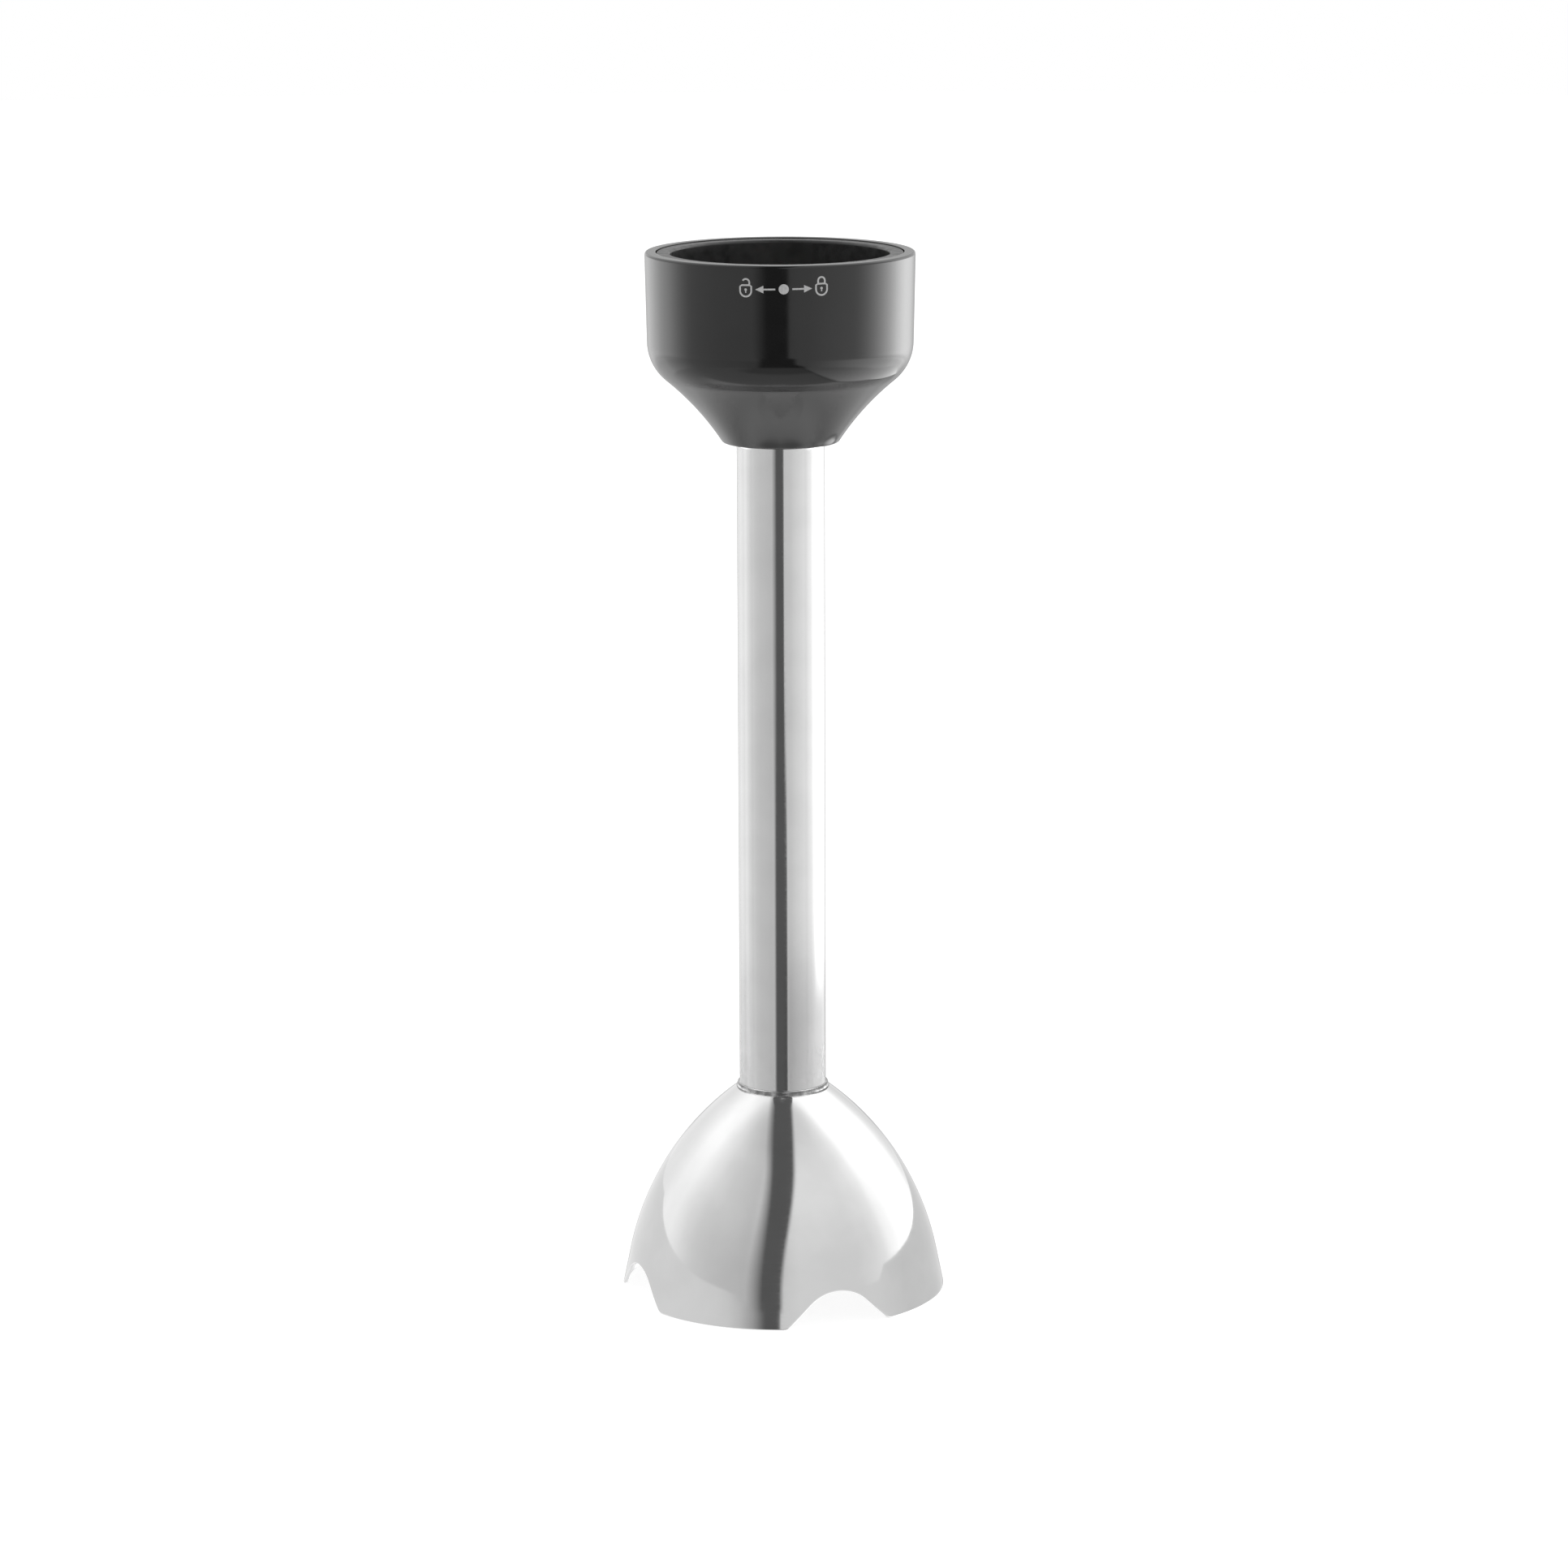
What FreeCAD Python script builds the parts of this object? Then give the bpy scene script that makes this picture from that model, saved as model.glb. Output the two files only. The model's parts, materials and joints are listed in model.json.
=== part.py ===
import FreeCAD, Part
import os
import Sketcher
from math import atan2, cos, degrees, hypot, pi, radians, sin, sqrt, tan

# The detachable blending shaft of a hand blender, standing on its bell guard.
# Millimetres. The origin is the centre of the circle that the bell's feet stand on,
# +Z runs up the shaft to the socket, and the front, with the lock marks, faces -Y.

Vector = FreeCAD.Vector
Rotation = FreeCAD.Rotation

document = FreeCAD.newDocument("BlendingShaft")
sheet = document.addObject("Spreadsheet::Sheet", "Sizes")
sub_parts = []


# ---- Sizes ---------------------------------------------------------------------------------

class Size:
    """A number together with the sheet formula that it comes from."""

    def __init__(self, value, formula):
        self.value = value
        self.formula = formula

    def __add__(self, other):
        other = as_size(other)
        return Size(self.value + other.value, f"({self.formula} + {other.formula})")

    def __sub__(self, other):
        other = as_size(other)
        return Size(self.value - other.value, f"({self.formula} - {other.formula})")

    def __mul__(self, other):
        other = as_size(other)
        return Size(self.value * other.value, f"({self.formula} * {other.formula})")

    def __truediv__(self, other):
        other = as_size(other)
        return Size(self.value / other.value, f"({self.formula} / {other.formula})")

    def __neg__(self):
        return Size(-self.value, f"(0 - {self.formula})")

    def __rsub__(self, other):
        return as_size(other) - self

    __radd__ = __add__
    __rmul__ = __mul__


def as_size(number):
    return number if isinstance(number, Size) else Size(number, f"{number}")


def sine(angle):
    return Size(sin(radians(angle.value)), f"sin({angle.formula})")


def cosine(angle):
    return Size(cos(radians(angle.value)), f"cos({angle.formula})")


def tangent(angle):
    return Size(tan(radians(angle.value)), f"tan({angle.formula})")


def root(size):
    return Size(sqrt(size.value), f"sqrt({size.formula})")


def size(name, number):
    """Put one driving dimension in the sheet, under its own name."""
    size.row += 1
    cell = f"B{size.row}"
    sheet.set(f"A{size.row}", name)
    sheet.set(cell, f"{number}")
    sheet.setAlias(cell, name)
    return Size(number, f"Sizes.{name}")


size.row = 0

# Clearances
slip = size("slip_gap", 0.02)                    # between pieces that are pushed together
running = size("running_gap", 0.04)              # between the turning shaft and its bushes
face_gap = size("face_gap", 0.1)                 # between faces that slide on each other

# Bell guard
sheet_metal = size("bell_sheet", 0.8)
rim_radius = size("bell_rim_radius", 33.0)
skirt_height = size("skirt_height", 7.2)
skirt_lean = size("skirt_lean", 11.5)            # degrees from upright
dome_radius = size("dome_radius", 58.2)
lip_radius = size("neck_lip_radius", 9.3)
lip_height = size("neck_lip_height", 0.9)
lip_round = size("neck_lip_round", 0.4)
notch_half = size("notch_half_width", 11.0)
notch_depth = size("notch_depth", 7.1)
notch_flank = size("notch_flank_slope", 43.5)    # degrees from level
notch_corner = size("notch_corner_radius", 1.8)
notch_turn = size("notch_turn", 20.75)           # degrees from the front to the first notch
notch_count = 4

# Tube and its flange
tube_radius = size("tube_radius", 8.8)
tube_wall = size("tube_wall", 0.8)
tube_bottom = size("tube_bottom", 40.0)
flange_bottom = size("flange_bottom", 186.3)
flange_thickness = size("flange_thickness", 1.2)
flange_radius = size("flange_radius", 15.5)
tube_bore = tube_radius - tube_wall
tube_top = flange_bottom + flange_thickness

# Collar
rim_top = size("rim_top", 213.0)
neck_height = size("neck_foot_height", 175.3)
neck_foot = size("neck_foot_radius", 11.84)
neck_lean = size("neck_foot_lean", 33.4)         # degrees from upright where the neck starts
shoulder_lean = size("shoulder_lean", 50.6)      # degrees from upright where the neck ends
neck_sweep = size("neck_sweep_radius", 55.7)
shoulder_radius = size("shoulder_radius", 9.7)
side_lean = size("side_lean", 1.13)              # degrees from upright, opening upwards
foot_round = size("neck_foot_round", 0.8)
rim_round = size("rim_round", 0.5)
cover_wall = size("cover_wall", 2.2)
cavity_floor = size("cover_cavity_floor", 181.5)
sleeve_radius = size("cover_sleeve_radius", 10.6)
boss_radius = size("boss_radius", 3.0)
pilot_radius = size("pilot_hole_radius", 1.15)
pilot_depth = size("pilot_hole_depth", 6.3)
screw_circle = size("screw_circle_radius", 12.5)
screw_count = 3

# Socket in the collar
mouth_radius = size("socket_mouth_radius", 21.8)
mouth_round = size("socket_mouth_round", 0.6)
guide_length = size("socket_guide_length", 6.2)
liner_drop = size("liner_drop", 0.2)             # of the liner's lip below the cover's rim
parting_gap = size("parting_gap", 0.15)
socket_radius = size("socket_radius", 22.6)
liner_wall = size("liner_wall", 1.5)
liner_floor = size("liner_floor", 2.5)
liner_foot = size("liner_foot_radius", 19.0)
liner_bend = size("liner_bend_height", 195.0)
hub_hole = size("liner_hub_hole_radius", 9.6)
lug_reach = size("lug_inner_radius", 20.4)
lug_half = size("lug_half_width", 3.0)
lug_bottom = size("lug_bottom", 199.0)
lug_height = size("lug_height", 3.0)
lug_count = 3
socket_floor = tube_top + liner_floor

# Screws
screw_radius = size("screw_radius", 1.45)
screw_length = size("screw_length", 9.5)
screw_tip = size("screw_tip_length", 2.0)
head_radius = size("screw_head_radius", 2.75)
head_height = size("screw_head_height", 1.9)

# Shaft and coupling
shaft_radius = size("shaft_radius", 3.0)
shaft_top = size("shaft_top", 197.5)
shaft_end = size("shaft_end", 12.2)
thread_radius = size("shaft_thread_radius", 2.45)
end_bevel = size("shaft_end_bevel", 0.4)
coupling_radius = size("coupling_radius", 7.5)
coupling_bottom = size("coupling_bottom", 191.5)
coupling_top = size("coupling_top", 204.0)
coupling_bevel = size("coupling_bevel", 0.8)
drive_floor = size("drive_socket_floor", 198.0)
drive_bore = size("drive_socket_radius", 3.9)
lobe_reach = size("drive_lobe_reach", 5.2)
lobe_half = size("drive_lobe_half_width", 1.2)
lobe_count = 6
skirt_bore = size("coupling_skirt_bore", 5.4)
skirt_roof = size("coupling_skirt_roof", 194.0)
pin_radius = size("coupling_pin_radius", 1.0)
pin_wall = size("coupling_pin_wall", 0.35)
pin_slot = size("coupling_pin_slot", 0.5)
pin_height = size("coupling_pin_height", 196.0)
pin_length = size("coupling_pin_length", 14.4)

# Upper bearing
holder_bottom = size("upper_holder_bottom", 168.0)
holder_floor = size("upper_holder_floor", 170.0)
holder_hole = size("upper_holder_hole", 3.8)
holder_flange = size("upper_holder_flange", 9.2)
holder_top = size("upper_holder_top", 189.0)
pocket_radius = size("bush_pocket_radius", 5.55)
upper_bush_length = size("upper_bush_length", 10.0)
felt_length = size("felt_length", 2.0)
retainer_thickness = size("felt_retainer_thickness", 0.5)
retainer_hole = size("felt_retainer_hole", 3.6)
seat_thickness = size("spring_seat_thickness", 0.6)
washer_hole = size("washer_hole_radius", 3.1)
washer_reach = size("upper_washer_radius", 5.3)
bush_radius = pocket_radius - slip * 2
felt_bottom = holder_floor + upper_bush_length
retainer_bottom = felt_bottom + felt_length
seat_bottom = retainer_bottom + retainer_thickness
spring_bottom = seat_bottom + seat_thickness

# Float spring
wire_radius = size("spring_wire_radius", 0.4)
coil_radius = size("spring_coil_radius", 4.4)
coil_turns = size("spring_turns", 6.0)
washer_thickness = size("upper_washer_thickness", 0.7)
washer_bottom = skirt_roof - face_gap - washer_thickness

# Lower bearing
nose_bottom = size("nose_bottom", 23.7)
nose_radius = size("nose_radius", 8.0)
nose_top_radius = size("nose_top_radius", 9.0)
nose_top = size("nose_top", 34.5)
plug_flange_radius = size("plug_flange_radius", 10.6)
plug_flange_bottom = size("plug_flange_bottom", 36.0)
plug_top = size("plug_top", 58.0)
plug_bore = size("plug_bore_radius", 4.0)
bush_bottom = size("lower_bush_bottom", 31.1)
lower_bush_length = size("lower_bush_length", 14.0)
seal_radius = size("seal_radius", 6.5)
seal_height = size("seal_height", 5.0)
seal_lip = size("seal_lip_clearance", 0.05)
garter_height = size("garter_height", 27.6)
garter_ring = size("garter_ring_radius", 4.42)
garter_wire = size("garter_wire_radius", 0.36)
seal_retainer_bottom = size("seal_retainer_bottom", 24.8)
seal_retainer_thickness = size("seal_retainer_thickness", 1.0)
seal_retainer_hole = size("seal_retainer_hole", 4.4)
lower_washer_radius = size("lower_washer_radius", 7.8)
lower_washer_thickness = size("lower_washer_thickness", 1.0)

# Rubber rings in the tube
ring_wire = size("o_ring_wire_radius", 0.65)
groove_floor = size("o_ring_groove_radius", 6.6)
groove_half = size("o_ring_groove_half_width", 0.8)
plug_ring_height = size("plug_ring_height", 52.0)
guide_bottom = size("mid_guide_bottom", 108.0)
guide_height = size("mid_guide_height", 15.0)
guide_waist = size("mid_guide_waist_radius", 6.0)
guide_land = size("mid_guide_land", 4.0)
guide_bore_gap = size("mid_guide_bore_gap", 0.09)
collar_ring_height = size("collar_ring_height", 177.6)
collar_ring_wire = size("collar_ring_wire_radius", 0.7)

# Blade
blade_bottom = size("blade_bottom", 14.1)
blade_thickness = size("blade_thickness", 1.4)
blade_reach = size("blade_tip_radius", 24.5)
blade_disc = size("blade_disc_radius", 7.0)
blade_half = size("wing_half_width", 5.6)
blade_bend = size("wing_bend", 12.0)             # degrees, one wing up and one down
bend_start = size("wing_bend_start", 6.2)        # distance of the bend line from the axis
bevel_width = size("wing_bevel_width", 2.6)
edge_thickness = size("wing_edge_thickness", 0.3)
tip_half = size("wing_tip_half_width", 3.4)
wing_trail = size("wing_trail", 2.0)             # how far the tip is swept back
hub_radius = size("blade_hub_radius", 5.5)
hub_flange = size("blade_hub_flange_radius", 7.0)
hub_flange_height = size("blade_hub_flange_height", 0.9)
nut_flat = size("nut_half_across_flats", 4.0)
nut_hex_height = size("nut_hex_height", 2.8)
nut_dome_height = size("nut_dome_height", 1.7)
nut_dome_base = size("nut_dome_base_radius", 3.7)
blade_top = blade_bottom + blade_thickness
hub_top = nose_bottom - lower_washer_thickness - face_gap * 2

document.recompute()


# ---- Making sub-parts ----------------------------------------------------------------------

def new_body(label, several_solids=False):
    body = document.addObject("PartDesign::Body", label + "_body")
    body.Label = label
    body.AllowCompound = several_solids
    sub_parts.append(body)
    return body


def keep(thing, label):
    """Name an object of the Part workbench as a sub-part."""
    thing.Label = label
    sub_parts.append(thing)
    return thing


def origin_feature(body, role):
    return [feature for feature in body.Origin.OriginFeatures if feature.Role == role][0]


def bind(thing, path, length):
    """Give a property its formula from the sheet."""
    thing.setExpression(path, as_size(length).formula)


def new_sketch(body, plane, height=None, turn=None):
    """A sketch on one of the body's own planes, lifted along and turned about its normal."""
    sketch = body.newObject("Sketcher::SketchObject", body.Label + "_sketch")
    sketch.AttachmentSupport = [(origin_feature(body, plane), "")]
    sketch.MapMode = "FlatFace"
    if turn:
        sketch.AttachmentOffset = FreeCAD.Placement(Vector(0, 0, 0), turn)
    if height:
        bind(sketch, "AttachmentOffset.Base.z", height)
    return sketch


def fix_point(sketch, geometry, end, x, y):
    """Hold one end of a line or arc at (x, y)."""
    for coordinate, kind, axis in ((x, "DistanceX", -2), (y, "DistanceY", -1)):
        coordinate = as_size(coordinate)
        if coordinate.formula == "0":
            sketch.addConstraint(Sketcher.Constraint("PointOnObject", geometry, end, axis))
            continue
        constraint = Sketcher.Constraint(kind, -1, 1, geometry, end, coordinate.value)
        index = sketch.addConstraint(constraint)
        sketch.setExpression(f"Constraints[{index}]", coordinate.formula)


def arc_between(start, end, radius, turns_left):
    """The arc of under half a turn from start to end, which turns left or right."""
    chord = end - start
    across = Vector(-chord.y, chord.x, 0).normalize()
    rise = sqrt(radius * radius - (chord.Length / 2) ** 2)
    centre = (start + end) / 2 + across * (rise if turns_left else -rise)
    first, last = (start, end) if turns_left else (end, start)
    first_angle = atan2(first.y - centre.y, first.x - centre.x)
    last_angle = atan2(last.y - centre.y, last.x - centre.x)
    if last_angle < first_angle:
        last_angle += 2 * pi
    circle = Part.Circle(centre, Vector(0, 0, 1), radius)
    return Part.ArcOfCircle(circle, first_angle, last_angle)


def draw(sketch, corners):
    """Draw a closed outline whose corners are (x, y).

    A corner may also say (x, y, "left" or "right", radius): an arc leaves it, turning that way.
    """
    count = len(corners)
    first_index = sketch.GeometryCount
    starts = []
    ends = []
    for number, corner in enumerate(corners):
        following = corners[(number + 1) % count]
        start = Vector(as_size(corner[0]).value, as_size(corner[1]).value, 0)
        end = Vector(as_size(following[0]).value, as_size(following[1]).value, 0)
        if len(corner) == 2:
            sketch.addGeometry(Part.LineSegment(start, end))
            backwards = False
        else:
            backwards = corner[2] == "right"
            sketch.addGeometry(arc_between(start, end, corner[3].value, not backwards))
        starts.append(2 if backwards else 1)
        ends.append(1 if backwards else 2)
    for number, corner in enumerate(corners):
        geometry = first_index + number
        following = first_index + (number + 1) % count
        next_start = starts[(number + 1) % count]
        join = Sketcher.Constraint("Coincident", geometry, ends[number], following, next_start)
        sketch.addConstraint(join)
        fix_point(sketch, geometry, starts[number], corner[0], corner[1])
        if len(corner) > 2:
            index = sketch.addConstraint(Sketcher.Constraint("Radius", geometry, corner[3].value))
            sketch.setExpression(f"Constraints[{index}]", corner[3].formula)


def draw_circle(sketch, x, y, radius):
    circle = Part.Circle(Vector(as_size(x).value, as_size(y).value, 0), Vector(0, 0, 1), radius.value)
    geometry = sketch.addGeometry(circle)
    fix_point(sketch, geometry, 3, x, y)
    index = sketch.addConstraint(Sketcher.Constraint("Radius", geometry, radius.value))
    sketch.setExpression(f"Constraints[{index}]", radius.formula)


def turn_about_z(body, corners):
    """Revolve an outline of (radius, height) corners about the shaft's axis."""
    sketch = new_sketch(body, "XZ_Plane")
    draw(sketch, corners)
    turned = body.newObject("PartDesign::Revolution", body.Label + "_turned")
    turned.Profile = sketch
    turned.ReferenceAxis = (sketch, ["V_Axis"])
    turned.Angle = 360
    return turned


def lathe(label, corners):
    body = new_body(label)
    turn_about_z(body, corners)
    return body


def pad(body, sketch, length):
    padded = body.newObject("PartDesign::Pad", body.Label + "_pad")
    padded.Profile = sketch
    bind(padded, "Length", length)
    return padded


def pocket(body, sketch, length=None, both_ways=False, reverse=False):
    """Cut a sketch's shape away, and stop if that takes nothing off."""
    document.recompute()
    before = body.Shape.Volume
    cut = body.newObject("PartDesign::Pocket", body.Label + "_pocket")
    cut.Profile = sketch
    cut.Midplane = both_ways
    cut.Reversed = reverse
    if length:
        bind(cut, "Length", length)
    else:
        cut.Type = "ThroughAll"
    document.recompute()
    if body.Shape.Volume >= before:
        raise ValueError(f"{body.Label}: a pocket cut nothing")
    return cut


def repeat_round(body, feature, count):
    """Repeat a feature evenly about the shaft's axis."""
    pattern = body.newObject("PartDesign::PolarPattern", body.Label + "_pattern")
    pattern.Originals = [feature]
    pattern.Axis = (origin_feature(body, "Z_Axis"), [""])
    pattern.Angle = 360
    pattern.Occurrences = count
    body.Tip = pattern
    return pattern


def torus(label, ring_radius, wire, height):
    ring = keep(document.addObject("Part::Torus", label + "_ring"), label)
    bind(ring, "Radius1", ring_radius)
    bind(ring, "Radius2", wire)
    bind(ring, "Placement.Base.z", height)
    return ring


def washer(label, bottom, thickness, hole, radius):
    top = bottom + thickness
    return lathe(label, [(hole, bottom), (radius, bottom), (radius, top), (hole, top)])


# ---- Bell guard ----------------------------------------------------------------------------

def build_bell_guard():
    """A drawn bell: straight skirt, one tangent dome arc, and a lip drawn up round the tube."""
    skirt_top = rim_radius - skirt_height * tangent(skirt_lean)
    centre_x = skirt_top - dome_radius * cosine(skirt_lean)
    centre_z = skirt_height - dome_radius * sine(skirt_lean)
    inner_dome = dome_radius - sheet_metal
    neck_bore = tube_radius + slip

    def dome_height(radius, reach):
        across = radius - centre_x
        return centre_z + root(reach * reach - across * across)

    outer_neck = dome_height(lip_radius, dome_radius)
    lip_top = outer_neck + lip_height
    inner_skirt_top = (centre_x + inner_dome * cosine(skirt_lean),
                       centre_z + inner_dome * sine(skirt_lean))
    body = new_body("bell_guard")
    turn_about_z(body, [
        (rim_radius, 0),
        (skirt_top, skirt_height, "left", dome_radius),
        (lip_radius, outer_neck),
        (lip_radius, lip_top - lip_round, "left", lip_round),
        (lip_radius - lip_round, lip_top),
        (neck_bore, lip_top),
        (neck_bore, dome_height(neck_bore, inner_dome), "right", inner_dome),
        inner_skirt_top,
        (rim_radius - sheet_metal / cosine(skirt_lean), 0),
    ])
    cut_notch(body)


def cut_notch(body):
    """The notch is an arch with straight flanks and rounded feet, repeated round the rim."""
    slope_sine = sine(notch_flank)
    slope_cosine = cosine(notch_flank)
    arch_radius = (notch_half * slope_sine - notch_depth * slope_cosine) / (1 - slope_cosine)
    arch_x = arch_radius * slope_sine
    arch_z = notch_depth - arch_radius + arch_radius * slope_cosine
    foot_x = notch_half + notch_corner * tangent(notch_flank / 2)
    bend_x = foot_x - notch_corner * slope_sine
    bend_z = notch_corner - notch_corner * slope_cosine
    below = -notch_corner
    sketch = new_sketch(body, "XZ_Plane", turn=Rotation(Vector(0, 1, 0), notch_turn.value))
    draw(sketch, [
        (-foot_x, below),
        (foot_x, below),
        (foot_x, 0, "right", notch_corner),
        (bend_x, bend_z),
        (arch_x, arch_z, "left", arch_radius),
        (-arch_x, arch_z),
        (-bend_x, bend_z, "right", notch_corner),
        (-foot_x, 0),
    ])
    cut = pocket(body, sketch, rim_radius * 2, reverse=True)
    repeat_round(body, cut, notch_count)


# ---- Tube ----------------------------------------------------------------------------------

def build_tube():
    lathe("shaft_tube", [(tube_bore, tube_bottom), (tube_radius, tube_bottom),
                         (tube_radius, tube_top), (tube_bore, tube_top)])
    flange = lathe("tube_flange", [
        (tube_radius + slip, flange_bottom),
        (flange_radius, flange_bottom),
        (flange_radius, tube_top),
        (tube_radius + slip, tube_top),
    ])
    cut_screw_holes(flange, tube_top, flange_thickness)


def cut_screw_holes(body, height, depth):
    """Clearance holes for the collar's screws."""
    sketch = new_sketch(body, "XY_Plane", height)
    draw_circle(sketch, screw_circle, 0, screw_radius + face_gap)
    repeat_round(body, pocket(body, sketch, depth), screw_count)


# ---- Collar --------------------------------------------------------------------------------

def build_collar_cover():
    """The outer shell: rounded foot, trumpet neck, shoulder and a nearly straight side."""
    lean_sine, lean_cosine = sine(neck_lean), cosine(neck_lean)
    bend_sine, bend_cosine = sine(shoulder_lean), cosine(shoulder_lean)
    side_sine, side_cosine = sine(side_lean), cosine(side_lean)
    foot_x = neck_foot - foot_round * lean_cosine
    foot_z = neck_height + foot_round * lean_sine - foot_round
    sweep_x = neck_foot + neck_sweep * lean_cosine
    sweep_z = neck_height - neck_sweep * lean_sine
    bend_x = sweep_x - neck_sweep * bend_cosine
    bend_z = sweep_z + neck_sweep * bend_sine
    centre_x = bend_x - shoulder_radius * bend_cosine
    centre_z = bend_z + shoulder_radius * bend_sine
    side_x = centre_x + shoulder_radius * side_cosine
    side_z = centre_z - shoulder_radius * side_sine
    rim_x = side_x + (rim_top - side_z) * tangent(side_lean)

    inner_round = shoulder_radius - cover_wall
    inner_sweep = neck_sweep + cover_wall
    inner_side = (centre_x + inner_round * side_cosine, centre_z - inner_round * side_sine)
    inner_bend = (centre_x + inner_round * bend_cosine, centre_z - inner_round * bend_sine)
    drop = cavity_floor - sweep_z
    floor_x = sweep_x - root(inner_sweep * inner_sweep - drop * drop)
    bore = tube_radius + slip
    ring_seat = tube_radius + collar_ring_wire * 2 + slip * 2

    body = new_body("collar_cover")
    turn_about_z(body, [
        (bore, foot_z),
        (foot_x, foot_z, "left", foot_round),
        (neck_foot, neck_height, "right", neck_sweep),
        (bend_x, bend_z, "left", shoulder_radius),
        (side_x, side_z),
        (rim_x, rim_top - rim_round, "left", rim_round),
        (rim_x - rim_round, rim_top),
        (rim_x - cover_wall, rim_top),
        (inner_side[0], inner_side[1], "right", inner_round),
        (inner_bend[0], inner_bend[1], "left", inner_sweep),
        (floor_x, cavity_floor),
        (sleeve_radius, cavity_floor),
        (sleeve_radius, flange_bottom),
        (bore, flange_bottom),
        (bore, collar_ring_height + groove_half),
        (ring_seat, collar_ring_height + groove_half),
        (ring_seat, collar_ring_height - groove_half),
        (bore, collar_ring_height - groove_half),
    ])
    boss = new_sketch(body, "XY_Plane", cavity_floor)
    draw_circle(boss, screw_circle, 0, boss_radius)
    repeat_round(body, pad(body, boss, flange_bottom - cavity_floor), screw_count)
    pilot = new_sketch(body, "XY_Plane", flange_bottom)
    draw_circle(pilot, screw_circle, 0, pilot_radius)
    repeat_round(body, pocket(body, pilot, pilot_depth), screw_count)
    return rim_x - cover_wall


def build_collar_liner(parting_radius):
    """The socket: a guiding mouth, a wider bore with twist-lock lugs, and a screwed floor."""
    lip_top = rim_top - liner_drop
    lip_outer = parting_radius - parting_gap
    outer = socket_radius + liner_wall
    guide_bottom_z = lip_top - mouth_round - guide_length
    slope = (outer - liner_foot) / (liner_bend - tube_top)
    wall_across = liner_wall * root(1 + slope * slope)
    floor_x = liner_foot + slope * liner_floor - wall_across
    bend_z = liner_bend - (outer - wall_across - socket_radius) / slope
    body = new_body("collar_liner")
    turn_about_z(body, [
        (hub_hole, tube_top),
        (liner_foot, tube_top),
        (outer, liner_bend),
        (outer, guide_bottom_z),
        (lip_outer, guide_bottom_z + liner_wall),
        (lip_outer, lip_top),
        (mouth_radius + mouth_round, lip_top, "left", mouth_round),
        (mouth_radius, lip_top - mouth_round),
        (mouth_radius, guide_bottom_z),
        (socket_radius, guide_bottom_z - liner_wall / 2),
        (socket_radius, bend_z),
        (floor_x, socket_floor),
        (hub_hole, socket_floor),
    ])
    lug = new_sketch(body, "XY_Plane", lug_bottom)
    draw(lug, [
        (lug_reach, -lug_half),
        (socket_radius + liner_wall / 2, -lug_half),
        (socket_radius + liner_wall / 2, lug_half),
        (lug_reach, lug_half),
    ])
    repeat_round(body, pad(body, lug, lug_height), lug_count)
    cut_screw_holes(body, socket_floor, liner_floor)


def build_collar_screws():
    """Pan-head screws, each turned about its own axis and repeated round the collar."""
    body = new_body("collar_screws", several_solids=True)
    sketch = new_sketch(body, "XZ_Plane")
    axis = screw_circle
    tip = socket_floor - screw_length
    head_top = socket_floor + head_height
    crown = head_height * 0.6
    draw(sketch, [
        (axis, tip),
        (axis + screw_radius, tip + screw_tip),
        (axis + screw_radius, socket_floor),
        (axis + head_radius, socket_floor),
        (axis + head_radius, head_top - crown, "left", crown),
        (axis + head_radius - crown, head_top),
        (axis, head_top),
    ])
    line = Part.LineSegment(Vector(axis.value, tip.value, 0), Vector(axis.value, head_top.value, 0))
    sketch.addGeometry(line, True)
    turned = body.newObject("PartDesign::Revolution", "collar_screws_turned")
    turned.Profile = sketch
    turned.ReferenceAxis = (sketch, ["Axis0"])
    turned.Angle = 360
    repeat_round(body, turned, screw_count)


# ---- Upper bearing and float spring --------------------------------------------------------

def build_upper_bearing():
    plug = tube_bore - slip * 2
    lathe("upper_bearing_holder", [
        (holder_hole, holder_bottom),
        (plug, holder_bottom),
        (plug, tube_top + slip),
        (holder_flange, tube_top + slip),
        (holder_flange, holder_top),
        (pocket_radius, holder_top),
        (pocket_radius, holder_floor),
        (holder_hole, holder_floor),
    ])
    shaft_bore = shaft_radius + running
    loose_bore = shaft_radius + running * 2
    washer("upper_bush", holder_floor + slip, upper_bush_length - slip * 2, shaft_bore, bush_radius)
    washer("upper_felt", felt_bottom, felt_length - slip, loose_bore, bush_radius)
    washer("felt_retainer", retainer_bottom, retainer_thickness - slip, retainer_hole, bush_radius)
    washer("spring_seat_washer", seat_bottom, seat_thickness - slip, washer_hole, bush_radius)
    washer("upper_thrust_washer", washer_bottom, washer_thickness, washer_hole, washer_reach)


def build_float_spring():
    """An open helix between its seat and the upper thrust washer."""
    seat = spring_bottom + wire_radius + slip
    height = washer_bottom - face_gap - wire_radius - seat
    helix = document.addObject("Part::Helix", "spring_path")
    bind(helix, "Radius", coil_radius)
    bind(helix, "Height", height)
    bind(helix, "Pitch", height / coil_turns)
    section = document.addObject("Part::Circle", "spring_section")
    section.Placement = FreeCAD.Placement(Vector(0, 0, 0), Rotation(Vector(1, 0, 0), 90))
    bind(section, "Placement.Base.x", coil_radius)
    bind(section, "Radius", wire_radius)
    spring = keep(document.addObject("Part::Sweep", "spring_wire"), "float_spring")
    spring.Sections = [section]
    spring.Spine = (helix, [])
    spring.Solid = True
    spring.Frenet = True
    bind(spring, "Placement.Base.z", seat)


# ---- Lower bearing and seal ----------------------------------------------------------------

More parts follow.
